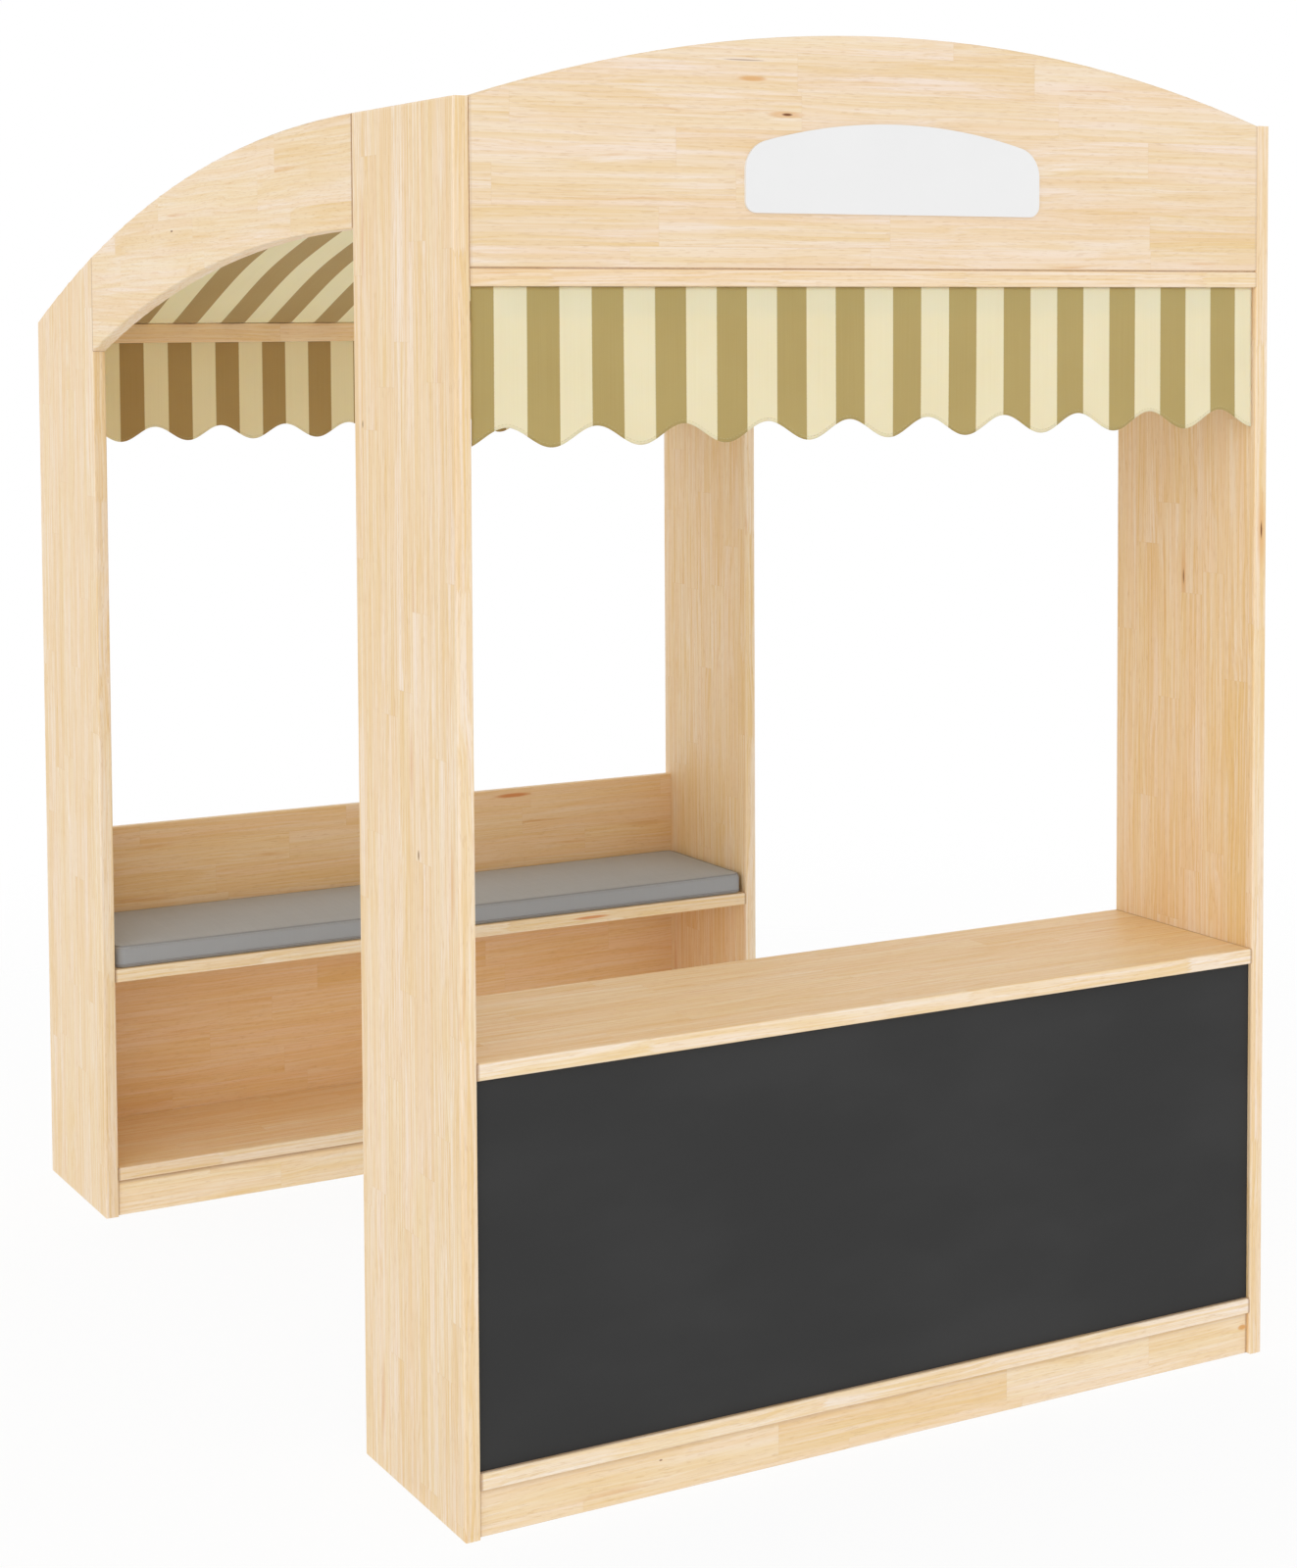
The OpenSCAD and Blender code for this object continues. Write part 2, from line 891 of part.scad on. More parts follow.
front_left_upright();
front_right_upright();
counter_top();
chalkboard();
front_bottom_shelf();
front_plinth();
front_rail();
header_panel();
sign_plate();
valance_batten();
front_valance();
rear_left_upright();
rear_right_upright();
bench_seat();
bench_back();
bench_bottom_shelf();
bench_plinth();
seat_cushion();
left_arch();
right_arch();
rear_rail();
rear_valance();
roof_canopy();
canopy_side_tapes();
canopy_end_tapes();
valance_tapes();
cam_bolts();
cam_locks();
dowels();
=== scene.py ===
# %% [markdown]
# # A toy market stall
# The stall is a flat-pack play house for a nursery: a counter unit and a bench unit stand apart, and two
# curved side bands and a striped cloth roof tie them together. The boards, rails and fittings come from a
# CAD model that is already exact, so this lesson leaves their shapes alone. It gives them their finish and
# makes everything that is soft: two valances, the roof cloth and the bench cushion.

# %% Load the CAD model as a fixed frame
import math

import bmesh
import bpy
from mathutils import Euler, Matrix, Vector
from mathutils.bvhtree import BVHTree


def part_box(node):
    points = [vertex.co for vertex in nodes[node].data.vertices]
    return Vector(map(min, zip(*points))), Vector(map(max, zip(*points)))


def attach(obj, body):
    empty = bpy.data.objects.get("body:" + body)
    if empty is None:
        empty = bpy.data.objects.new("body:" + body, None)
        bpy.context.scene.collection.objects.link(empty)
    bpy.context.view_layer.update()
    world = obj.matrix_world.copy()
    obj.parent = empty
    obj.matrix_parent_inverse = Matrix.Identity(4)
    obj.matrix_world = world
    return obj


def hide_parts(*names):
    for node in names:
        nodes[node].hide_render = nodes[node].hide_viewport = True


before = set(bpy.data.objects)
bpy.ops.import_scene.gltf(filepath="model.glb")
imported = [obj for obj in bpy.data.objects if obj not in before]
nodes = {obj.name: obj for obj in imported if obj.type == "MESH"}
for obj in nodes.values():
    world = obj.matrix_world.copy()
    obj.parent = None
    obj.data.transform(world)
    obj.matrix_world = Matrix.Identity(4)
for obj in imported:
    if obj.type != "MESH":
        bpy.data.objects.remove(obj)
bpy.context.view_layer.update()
scene = bpy.context.scene
STALL = "stall"
CUSHION = "cushion"
print("nodes loaded:", len(nodes))

# %% [markdown]
# ## Sums that build node trees
# Every finish and every repeating piece below is a tree of nodes. Written out node by node, a tree hides its
# idea behind dozens of lines. Here a socket is wrapped as a field instead, and a sum written with fields adds
# the maths nodes that work it out. So a pattern reads like the formula that it is.

# %% Nodes, fields and arrows
def feed(tree, node, inputs):
    """Sets a node's inputs. A socket or field is linked, and any other value is set on the input."""
    for key, value in inputs.items():
        value = getattr(value, "socket", value)
        if isinstance(value, bpy.types.NodeSocket):
            tree.links.new(value, node.inputs[key])
        else:
            node.inputs[key].default_value = value


def add_node(tree, kind, inputs=None, **settings):
    """Adds a node with its settings and inputs."""
    node = tree.nodes.new(kind)
    for name, value in settings.items():
        setattr(node, name, value)
    feed(tree, node, inputs or {})
    return node


class Field:
    """A number in a node tree. A sum written with it adds the maths node that works it out."""
    kind = "ShaderNodeMath"

    def __init__(self, tree, socket):
        self.tree = tree
        self.socket = socket

    def by(self, operation, *others):
        """The result of one maths node, with this value as its first input."""
        inputs = dict(enumerate((self, *others)))
        return type(self)(self.tree, add_node(self.tree, self.kind, inputs, operation=operation).outputs[0])

    def __add__(self, other):
        return self.by("ADD", other)

    def __sub__(self, other):
        return self.by("SUBTRACT", other)

    def __mul__(self, other):
        return self.by("MULTIPLY", other)

    def __truediv__(self, other):
        return self.by("DIVIDE", other)

    def __pow__(self, power):
        return self.by("POWER", power)

    def __abs__(self):
        return self.by("ABSOLUTE")

    def __neg__(self):
        return self * -1.0

    def __rsub__(self, other):
        return -self + other


class Arrow(Field):
    """A vector in a node tree, which sums in the same way."""
    kind = "ShaderNodeVectorMath"


def wrapped(tree, socket):
    """A socket as a field, or as an arrow if it holds a vector."""
    return (Arrow if socket.type == "VECTOR" else Field)(tree, socket)


def source(tree, kind, output=0, **settings):
    """What a node without inputs gives."""
    return wrapped(tree, add_node(tree, kind, **settings).outputs[output])


def split(vector):
    """The three numbers of one vector."""
    parts = add_node(vector.tree, "ShaderNodeSeparateXYZ", {0: vector}).outputs
    return [Field(vector.tree, part) for part in parts]


def tree_of(*values):
    """The tree of the first field among some values."""
    return next(value.tree for value in values if isinstance(value, Field))


def joined(x, y, z):
    """One vector from three numbers."""
    tree = tree_of(x, y, z)
    return Arrow(tree, add_node(tree, "ShaderNodeCombineXYZ", {0: x, 1: y, 2: z}).outputs[0])


def new_tree(name, tree_kind, inputs, outputs):
    """A node group, its inputs as fields by name, and its output node. Sockets are listed by kind."""
    tree = bpy.data.node_groups.new(name, tree_kind)
    for direction, sockets in (("INPUT", inputs), ("OUTPUT", outputs)):
        for kind, labels in sockets.items():
            for label in labels.split(", "):
                tree.interface.new_socket(label, in_out=direction, socket_type="NodeSocket" + kind)
    sockets = [socket for socket in tree.nodes.new("NodeGroupInput").outputs if socket.name]
    given = {socket.name: wrapped(tree, socket) for socket in sockets}
    return tree, given, tree.nodes.new("NodeGroupOutput")


# %% [markdown]
# ## Small helpers for finishes
# A few patterns return in every finish: a smooth step, a noise, a mix of two colours, a bump. A colour is
# easier to judge in the sRGB values of a screen, while shaders work in linear light, so one helper converts.

# %% Helpers for finishes
def ramp(value, low, high, start=0.0, end=1.0):
    """A smooth step: start while value is at or below low, end at or above high."""
    inputs = {"Value": value, "From Min": low, "From Max": high, "To Min": start, "To Max": end}
    step = add_node(value.tree, "ShaderNodeMapRange", inputs, interpolation_type="SMOOTHSTEP")
    return Field(value.tree, step.outputs[0])


def noise(vector, detail=2.0, roughness=0.5):
    """Smooth noise from 0 to 1 over a vector that already has its scale."""
    inputs = {"Vector": vector, "Scale": 1.0, "Detail": detail, "Roughness": roughness}
    return Field(vector.tree, add_node(vector.tree, "ShaderNodeTexNoise", inputs).outputs[0])


def mixed(factor, a, b, blend="MIX"):
    """Two colours mixed by a factor."""
    tree = tree_of(factor, a, b)
    both = add_node(tree, "ShaderNodeMix", {0: factor, 6: a, 7: b}, data_type="RGBA", blend_type=blend)
    return Field(tree, both.outputs[2])


def object_place(tree):
    """Where a point lies in the part's frame."""
    return source(tree, "ShaderNodeTexCoord", "Object")


def srgb(red, green, blue):
    """A screen colour of 0 to 255 as linear light with full alpha."""
    def linear(value):
        share = value / 255
        return share / 12.92 if share <= 0.04045 else ((share + 0.055) / 1.055) ** 2.4
    return (linear(red), linear(green), linear(blue), 1.0)


def new_material(name):
    """A new material, its tree and its Principled shader."""
    material = bpy.data.materials.new(name)
    material.use_nodes = True
    tree = material.node_tree
    return material, tree, tree.nodes["Principled BSDF"]


def bumped(shader, height, depth, strength=1.0):
    """Links a height pattern to a shader's normal. depth is in metres."""
    inputs = {"Height": height, "Distance": depth, "Strength": strength}
    feed(height.tree, shader, {"Normal": add_node(height.tree, "ShaderNodeBump", inputs).outputs[0]})


def paint(node_name, material):
    """Gives a CAD node its finish."""
    slots = nodes[node_name].data.materials
    slots.clear()
    slots.append(material)


# %% [markdown]
# ## Camera
# A product picture like this one is taken from near the height of the roof with an almost upright camera, so
# that the side boards stay almost parallel. The lens is shifted down, and the camera is tilted by only three
# degrees. The position, the angles and the focal length were worked out from straight edges of the boards.

# %% Camera at the photograph's viewing angle
CAMERA_PLACE = (-1.6747, -3.1859, 1.2367)
CAMERA_YAW = math.radians(28.93)
CAMERA_PITCH = math.radians(3.111)
CAMERA_ROLL = math.radians(-0.307)
CAMERA_LENS = 63.12
CAMERA_SENSOR = 36.0
CAMERA_SHIFT = -0.2

camera = bpy.data.objects.new("camera", bpy.data.cameras.new("camera"))
scene.collection.objects.link(camera)
camera.data.lens = CAMERA_LENS
camera.data.sensor_width = CAMERA_SENSOR
camera.data.shift_y = CAMERA_SHIFT
aimed = Euler((math.pi / 2 - CAMERA_PITCH, 0, -CAMERA_YAW)).to_matrix()
turned = aimed @ Matrix.Rotation(CAMERA_ROLL, 3, "Z")
camera.matrix_world = Matrix.Translation(CAMERA_PLACE) @ turned.to_4x4()
scene.camera = camera
scene.view_settings.view_transform = "Standard"
print("camera at", tuple(round(v, 3) for v in camera.location), "lens", CAMERA_LENS)

# %% [markdown]
# ## Finger-jointed board
# The boards are glued up from pale staves about 4 cm wide. Each stave is itself a row of short lengths with
# finger joints between them, so a face shows a patchwork of slightly different tones, and an edge shows the
# zigzag of the fingers. A picture of wood would repeat from board to board and smear round the edges. A
# pattern in space, cut by the board's own surface, gives long grain on the faces and rings on the end grain.
# One node group holds it. It reads how far a point lies along, across and through its board.

# %% Pattern of a finger-jointed board
STAVE_WIDTH = 0.041
STAVE_LENGTH = 0.33
STAVE_UNEVEN = 0.85
FINGER_PITCH = 0.004
FINGER_LENGTH = 0.009
RING_WIDTH = 0.0052
PITH_REACH = 0.11
EASED = 0.0035
GRAIN_WANDER = 0.022
WOOD_PALE = srgb(243, 222, 192)
WOOD_HONEY = srgb(241, 217, 184)
WOOD_WARM = srgb(238, 211, 174)
WOOD_ROSE = srgb(242, 214, 184)
WOOD_STRAW = srgb(240, 219, 172)
WOOD_IVORY = srgb(245, 231, 219)
WOOD_DEEP = srgb(230, 193, 130)
WOOD_STREAK = srgb(220, 166, 104)
WOOD_RED = srgb(214, 140, 82)
WOOD_PORE = srgb(205, 162, 112)
WOOD_KNOT = srgb(120, 72, 36)
WOOD_END = srgb(222, 186, 142)
# Colour of the painted shade in joints, under overhangs and along the chalkboard's rebate
WOOD_PAINTED_SHADE = srgb(150, 104, 64)


def board_pattern():
    """The node group. Grain is (along, across, through) in metres from the board's lowest corner."""
    inputs = {"Vector": "Grain, Size", "Float": "Seed, End, Lines, Joined, Under, Rebate", "Color": "Tint"}
    outputs = {"Color": "Color", "Float": "Roughness, Height"}
    tree, given, made = new_tree("finger_jointed_board", "ShaderNodeTree", inputs, outputs)
    along, across, through = split(given["Grain"])
    seed = given["Seed"]

    # Lanes across the board, each cut into lengths whose ends zigzag through the thickness
    lane_place = across / STAVE_WIDTH + seed * 0.37
    lane = lane_place.by("FLOOR")
    fingers = through.by("PINGPONG", FINGER_PITCH / 2)
    cut = fingers * (2 * FINGER_LENGTH / FINGER_PITCH) + along
    place = cut / STAVE_LENGTH + (lane * 7.31 + seed * 3.17)
    cells = {"W": place, "Scale": 1.0, "Randomness": STAVE_UNEVEN}
    staves, joints = [
        add_node(tree, "ShaderNodeTexVoronoi", cells, voronoi_dimensions="1D", feature=feature).outputs
        for feature in ("F1", "DISTANCE_TO_EDGE")]
    stave = Arrow(tree, staves["Color"])
    tone, shift, lean = split(stave)

    # Each stave is sawn from another tree, so its grain starts somewhere else, and it wanders a little
    sawn = given["Grain"] + stave * (9, 5, 5)
    slow = noise(sawn * (3, 16, 16))
    bend = (slow - 0.5) * GRAIN_WANDER
    own = sawn + joined(0.0, bend, bend)

    def grained(lengthwise, crosswise, detail=2.0, roughness=0.5):
        return noise(own * (lengthwise, crosswise, crosswise), detail, roughness)

    cloud = grained(4, 38)
    band = grained(1.3, 62)
    streak = grained(3, 150, 3, 0.6)
    line = grained(3.5, 360)
    fibre = grained(8, 800)
    pore = ramp(grained(75, 900, 0), 0.64, 0.74)
    stain = ramp(grained(4.5, 75, 3, 0.62), 0.63, 0.78)

    # Growth rings about a pith that lies beside the stave
    local = (lane_place.by("FRACT") - 0.5) * STAVE_WIDTH
    side = (lean - 0.5) * PITH_REACH + local
    depth = (tone + 0.15) * (PITH_REACH / 2) + through
    radius = (side ** 2 + depth ** 2).by("SQRT")
    taper = along * (shift * 0.05 - 0.025)
    turns = (radius + (slow * 0.014 + taper)) / RING_WIDTH
    ring = (turns * math.tau).by("SINE") * 0.5 + 0.5

    # A few small dark slits where a twig began
    spots = add_node(tree, "ShaderNodeTexVoronoi", {"Vector": own * (5, 42, 42), "Scale": 1.0}).outputs
    chosen = ramp(split(Arrow(tree, spots["Color"]))[0], 0.955, 0.96)
    from_spot = Field(tree, spots["Distance"])
    slit = ramp(from_spot, 0.02, 0.07, 1, 0) * chosen
    halo = ramp(from_spot, 0.05, 0.32, 0.55, 0) * chosen

    # Glue lines between lanes and at finger joints
    lane_seam = ramp(lane_place.by("PINGPONG", 0.5), 0.004, 0.012, 1, 0)
    end_seam = ramp(Field(tree, joints["Distance"]), 0.0006, 0.002, 1, 0)
    glue = lane_seam.by("MAXIMUM", end_seam)

    # The eased edges are touched most, so they are a little lighter and smoother
    size = split(given["Size"])
    inside = [g.by("MINIMUM", s - g) for g, s in zip((along, across, through), size)]
    nearest = inside[0].by("MINIMUM", inside[1])
    farther = inside[0].by("MAXIMUM", inside[1])
    middle = nearest.by("MAXIMUM", farther.by("MINIMUM", inside[2]))
    edge = ramp(middle, EASED / 2, EASED, 1, 0)

    # Painted shade: darker at the board's ends where it meets another board, a painted shadow under a board
    # that overhangs it, and a painted shade line along another board's face
    painted_end_shade = ramp(inside[0], 0.0010, 0.0036, 1, 0) * given["Joined"]
    painted_overhang_shadow = ramp(size[1] - across, 0.0015, 0.008, 1, 0) * given["Under"]
    on_top = ramp(size[2] - through, 0.0002, 0.0012, 1, 0)
    painted_rebate_shade = ramp(abs(across - given["Rebate"]), 0.0008, 0.005, 1, 0) * on_top
    painted_joint_shade = painted_end_shade.by("MAXIMUM", painted_overhang_shadow).by("MAXIMUM", painted_rebate_shade)

    # Colours: first the stave's tone and hue
    tones = add_node(tree, "ShaderNodeValToRGB", {0: tone})
    stops = tones.color_ramp.elements
    stops[0].color = WOOD_PALE
    stops[1].color = WOOD_DEEP
    stops.new(0.35).color = WOOD_HONEY
    stops.new(0.9).color = WOOD_WARM
    hue = mixed(ramp(grained(1.6, 40), 0.38, 0.62), WOOD_ROSE, WOOD_STRAW)
    colour = mixed(0.3, tones.outputs[0], hue)

    # Then its grain from broad to fine: where it turns deeper, where it turns paler, and by how much
    lines = given["Lines"]
    some = lines * 0.7 + 0.3
    for field, soft, deep, ivory, weight in (
            (cloud, 0.20, 0.26, 0.36, 1.0), (band, 0.20, 0.36, 0.40, some), (streak, 0.16, 0.28, 0.34, some),
            (line, 0.09, 0.40, 0.26, lines), (fibre, 0.10, 0.22, 0.12, lines)):
        darker = ramp(field, 0.50, 0.50 + soft, 0, deep) * weight
        lighter = ramp(field, 0.48, 0.48 - soft, 0, ivory) * weight
        colour = mixed(lighter, mixed(darker, colour, WOOD_DEEP), WOOD_IVORY)

    # Last what lies on top of the grain
    lined = ramp(shift, 0.35, 0.8, 0.05, 0.28) * ramp(ring, 0.45, 1.0)
    sawn_end = given["End"] * ramp(ring, 0.1, 0.9, 0.35, 0.75)
    for share, shade in (
            (lined, WOOD_DEEP), (stain * 0.6, WOOD_STREAK), (pore * 0.22, WOOD_PORE), (halo, WOOD_STREAK),
            (slit, WOOD_KNOT), (glue * 0.10, WOOD_PORE), (edge * 0.18, WOOD_PALE), (sawn_end, WOOD_END)):
        colour = mixed(share, colour, shade)
    colour = mixed(1.0, colour, given["Tint"], "MULTIPLY")
    # Painted shade is mixed in last: in joints, under overhangs and along the rebate
    colour = mixed(painted_joint_shade * 0.6, colour, WOOD_PAINTED_SHADE)

    # Satin lacquer: pores and slits stay a little open, and worn edges shine more
    rough = fibre * 0.12 + 0.42 + pore * 0.10 - edge * 0.06
    height = streak * 0.5 + fibre * 0.35 - pore * 0.6 - glue * 0.35 - slit * 1.5
    feed(tree, made, {"Color": colour, "Roughness": rough, "Height": height})
    return tree


BOARD_PATTERN = board_pattern()
print("board pattern has", len(BOARD_PATTERN.nodes), "nodes")

# %% [markdown]
# ## One finish per board
# On the real stall the staves run along each board: upwards in the side boards, and sideways in everything
# that spans between them. A small wrapper turns the part's coordinates into the board's own, starting at its
# lowest corner, and gives each board its own seed, so that no two boards show the same patches. Boards differ
# in more than that, partly in tone and partly by painted light and shade: faces of boards in the stall's
# shade are tinted deeper and warmer as painted shade, the bench's low boards lighter and two front edges
# paler as painted light, and the side boards show more fine lines. Joints, overhangs and the chalkboard's
# rebate get painted shade. The few knots and red streaks that catch the eye are set one by one.

# %% Wood finishes
AXES = {"X": 0, "Y": 1, "Z": 2}
UPRIGHT = "ZYX"
LYING = "XYZ"
STANDING = "XZY"
SIDE_BAND = "YZX"
GRAIN_DEPTH = 0.00025
BOARDS = {
    "front_left_upright": UPRIGHT, "front_right_upright": UPRIGHT,
    "rear_left_upright": UPRIGHT, "rear_right_upright": UPRIGHT,
    "counter_top": LYING, "front_bottom_shelf": LYING, "front_rail": LYING,
    "bench_seat": LYING, "bench_bottom_shelf": LYING,
    "front_plinth": STANDING, "bench_plinth": STANDING, "header_panel": STANDING,
    "bench_back": STANDING, "rear_rail": STANDING, "valance_batten": STANDING,
    "left_arch": SIDE_BAND, "right_arch": SIDE_BAND,
}

# Tints multiply the wood's colour, on a board's two faces or on its edges. They are partly board tone and
# partly painted light and shade: deeper, warmer faces for boards in the stall's shade, and lighter low bench
# boards and paler front edges as painted light
EVEN = (1.0, 1.0, 1.0, 1.0)
PALER = (0.985, 1.005, 1.08, 1.0)
STRAWY_PAINTED_SHADE = (1.02, 0.98, 0.91, 1.0)
HONEYED_TONE_AND_SHADE = (1.03, 0.97, 0.85, 1.0)
AMBER_PAINTED_SHADE = (1.0, 0.88, 0.73, 1.0)
LIGHTER_PAINTED_LIGHT = (1.06, 1.05, 1.0, 1.0)
BLEACHED_PAINTED_LIGHT = (1.02, 1.06, 1.12, 1.0)
FACE_TONES_AND_PAINTED_SHADE = {
    "header_panel": PALER, "front_right_upright": STRAWY_PAINTED_SHADE, "rear_right_upright": STRAWY_PAINTED_SHADE,
    "counter_top": HONEYED_TONE_AND_SHADE, "bench_bottom_shelf": LIGHTER_PAINTED_LIGHT, "bench_plinth": LIGHTER_PAINTED_LIGHT,
    "bench_seat": STRAWY_PAINTED_SHADE, "rear_rail": HONEYED_TONE_AND_SHADE, "bench_back": AMBER_PAINTED_SHADE,
}
EDGE_PAINTED_LIGHT = {"counter_top": BLEACHED_PAINTED_LIGHT, "front_bottom_shelf": BLEACHED_PAINTED_LIGHT}

# Knots and streaks: place along and across the board, length, width, colour and strength
MARKS = {
    "header_panel": (
        (-0.139, 1.4528, 0.055, 0.009, WOOD_STREAK, 0.6), (-0.137, 1.4528, 0.016, 0.0036, WOOD_KNOT, 1.0),
        (-0.180, 1.4891, 0.042, 0.007, WOOD_STREAK, 0.8), (-0.191, 1.5080, 0.060, 0.002, WOOD_KNOT, 0.5)),
    "front_left_upright": (
        (0.6876, -0.6115, 0.013, 0.0036, WOOD_KNOT, 1.0), (1.1284, -0.4773, 0.010, 0.0032, WOOD_KNOT, 0.9)),
    "front_plinth": (
        (-0.295, 0.0369, 0.005, 0.0024, WOOD_KNOT, 0.8), (0.500, 0.0328, 0.016, 0.008, WOOD_STREAK, 1.0)),
    "bench_back": ((0.221, 0.4893, 0.075, 0.008, WOOD_RED, 1.0),),
    "bench_seat": ((0.2346, 0.3377, 0.075, 0.006, WOOD_RED, 0.9),),
    "left_arch": ((0.125, 1.352, 0.010, 0.0032, WOOD_KNOT, 0.9),),
}
MARK_AXES = {"bench_seat": STANDING}

# How strongly fine lines show, and how strongly painted shade shows in joints, under overhangs and along the
# chalkboard's rebate
FINE_LINES = {UPRIGHT: 1.1, LYING: 1.0, STANDING: 0.6, SIDE_BAND: 0.6}
FAINT_PAINTED_JOINT_SHADE = {"header_panel": 0.35, "front_rail": 0.35}
PAINTED_OVERHANG_SHADOW = {"front_plinth": 0.4, "bench_plinth": 1.0}
NO_PAINTED_REBATE_LINE = -1.0
PAINTED_REBATE_LINES = {"front_bottom_shelf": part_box("chalkboard")[0].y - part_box("front_bottom_shelf")[0].y}


def board_finish(node_name, order, seed):
    """Wood for one board. order names the axes along, across and through it."""
    low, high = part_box(node_name)
    picks = [AXES[letter] for letter in order]
    material, tree, shader = new_material("wood_" + node_name)
    place = object_place(tree)
    from_low = split(place - tuple(low))
    facing = [abs(side) for side in split(source(tree, "ShaderNodeNewGeometry", "Normal"))]
    on_face = ramp(facing[picks[2]], 0.5, 0.9)
    board = add_node(tree, "ShaderNodeGroup", {
        "Grain": joined(*[from_low[i] for i in picks]),
        "Size": [high[i] - low[i] for i in picks],
        "Seed": seed,
        "End": ramp(facing[picks[0]], 0.8, 0.98),
        # Tint: board tone mixed with painted shade and painted light, on the faces or on the edges
        "Tint": mixed(on_face, EDGE_PAINTED_LIGHT.get(node_name, EVEN), FACE_TONES_AND_PAINTED_SHADE.get(node_name, EVEN)),
        "Lines": FINE_LINES[order],
        # Strengths of the painted shade in joints and under overhangs, and where the painted rebate line lies
        "Joined": 0.0 if order == UPRIGHT else FAINT_PAINTED_JOINT_SHADE.get(node_name, 1.0),
        "Under": PAINTED_OVERHANG_SHADOW.get(node_name, 0.0),
        "Rebate": PAINTED_REBATE_LINES.get(node_name, NO_PAINTED_REBATE_LINE),
    }, node_tree=BOARD_PATTERN).outputs
    colour = board["Color"]
    part = split(place)
    lengthwise, crosswise, _ = [part[AXES[letter]] for letter in MARK_AXES.get(node_name, order)]
    for along, across, length, width, shade, strength in MARKS.get(node_name, ()):
        far = ((lengthwise - along) / (length / 2)) ** 2 + ((crosswise - across) / (width / 2)) ** 2
        colour = mixed(ramp(far, 0.1, 1.0, strength, 0), colour, shade)
    feed(tree, shader, {"Base Color": colour, "Roughness": board["Roughness"], "Specular IOR Level": 0.3})
    bumped(shader, Field(tree, board["Height"]), GRAIN_DEPTH, 0.6)
    paint(node_name, material)


for seed, (node_name, order) in enumerate(BOARDS.items(), start=1):
    board_finish(node_name, order, float(seed))
print("boards finished:", len(BOARDS))

# %% [markdown]
# ## Chalkboard, sign plate and fittings
# The chalkboard is a sheet of fibreboard with a matt dark grey paint that takes chalk, so it has almost no
# gloss and a faint haze where a cloth has wiped it. The sign plate is smooth white board left bare. Cams and
# bolts are zinc plated, dowels are plain beech, and the hook tape is a dense pile of tiny nylon loops.

# %% Chalkboard paint and sign plate
CHALK_DARK = srgb(50, 50, 50)
CHALK_HAZE = srgb(55, 55, 55)
SIGN_WHITE = (srgb(232, 232, 232), srgb(235, 235, 235))


def chalk_finish():
    material, tree, shader = new_material("chalk_paint")
    place = object_place(tree)
    wipes = noise(place * (4, 4, 9), 3)
    grit = noise(place * (900, 900, 900))
    colour = mixed(ramp(wipes, 0.35, 0.75), CHALK_DARK, CHALK_HAZE)
    feed(tree, shader, {"Base Color": colour, "Roughness": grit * 0.12 + 0.74, "Specular IOR Level": 0.25})
    bumped(shader, grit, 0.00008, 0.5)
    return material


def sign_finish():
    material, tree, shader = new_material("sign_white")
    place = object_place(tree)
    cloudy = noise(place * (12, 12, 12))
    peel = noise(place * (420, 420, 420), 1)
    feed(tree, shader, {"Base Color": mixed(cloudy, *SIGN_WHITE), "Roughness": cloudy * 0.08 + 0.40})
    bumped(shader, peel, 0.00004, 0.4)
    return material


paint("chalkboard", chalk_finish())
paint("sign_plate", sign_finish())

# %% Zinc, beech and tape
ZINC_GREYS = (srgb(168, 170, 174), srgb(206, 207, 208))
BEECH_BROWNS = (srgb(222, 190, 146), srgb(196, 154, 106))
TAPE_WHITES = (srgb(206, 202, 190), srgb(236, 233, 224))


def speckled(name, colours, scale, detail=2.0, step=None, rough=0.5, vary=0.0, depth=0.0001, strength=0.5,
             metallic=0.0):
    """A finish with one noise in its colour, its surface and, where it varies, its roughness."""
    material, tree, shader = new_material(name)
    speck = noise(object_place(tree) * scale, detail)
    share = ramp(speck, *step) if step else speck
    roughness = speck * vary + rough if vary else rough
    feed(tree, shader, {"Base Color": mixed(share, *colours), "Roughness": roughness, "Metallic": metallic})
    bumped(shader, speck, depth, strength)
    return material


ZINC = speckled("zinc_fitting", ZINC_GREYS, (700, 700, 700), 3, rough=0.24, vary=0.25, depth=0.00004,
                strength=0.4, metallic=1.0)
TAPE = speckled("hook_tape", TAPE_WHITES, (1400, 1400, 1400), step=(0.3, 0.7), rough=0.9, depth=0.0005,
                strength=0.8)
BEECH = speckled("dowel_beech", BEECH_BROWNS, (60, 700, 700), step=(0.4, 0.7), rough=0.5, vary=0.2)
paint("dowels", BEECH)
for node_name in ("cam_bolts", "cam_locks"):
    paint(node_name, ZINC)
for node_name in ("canopy_side_tapes", "canopy_end_tapes", "valance_tapes"):
    paint(node_name, TAPE)
print("small finishes done")

# %% [markdown]
# ## Striped cotton
# Roof and valances are plain woven cotton with stripes a little under 37 mm wide. The stripes follow the
# cloth and not the room, so the finish reads the cloth's own UV map, which holds metres: U across the
# stripes and V along them. Two sine waves make the weave, and noise stretched along the warp makes some
# yarns darker than their neighbours. The cloth is thin, so a little light spreads inside it. The front sheet
# is olive. The rear valance and the roof, seen inside the stall, have browner dark stripes as painted shade,
# and the roof's cream is paler as painted light from below.

# %% Striped cloth finish
STRIPE = 0.03685
YARN = 0.0011
YARN_FINE = 950
YARN_LONG = 7
OLIVE = (srgb(181, 162, 105), srgb(176, 156, 99))
# Browner dark stripes for the rear valance and the roof: painted shade of the stall's inside
BARK_PAINTED_SHADE = (srgb(178, 153, 99), srgb(173, 147, 93))
CREAM = (srgb(233, 223, 191), srgb(229, 218, 183))
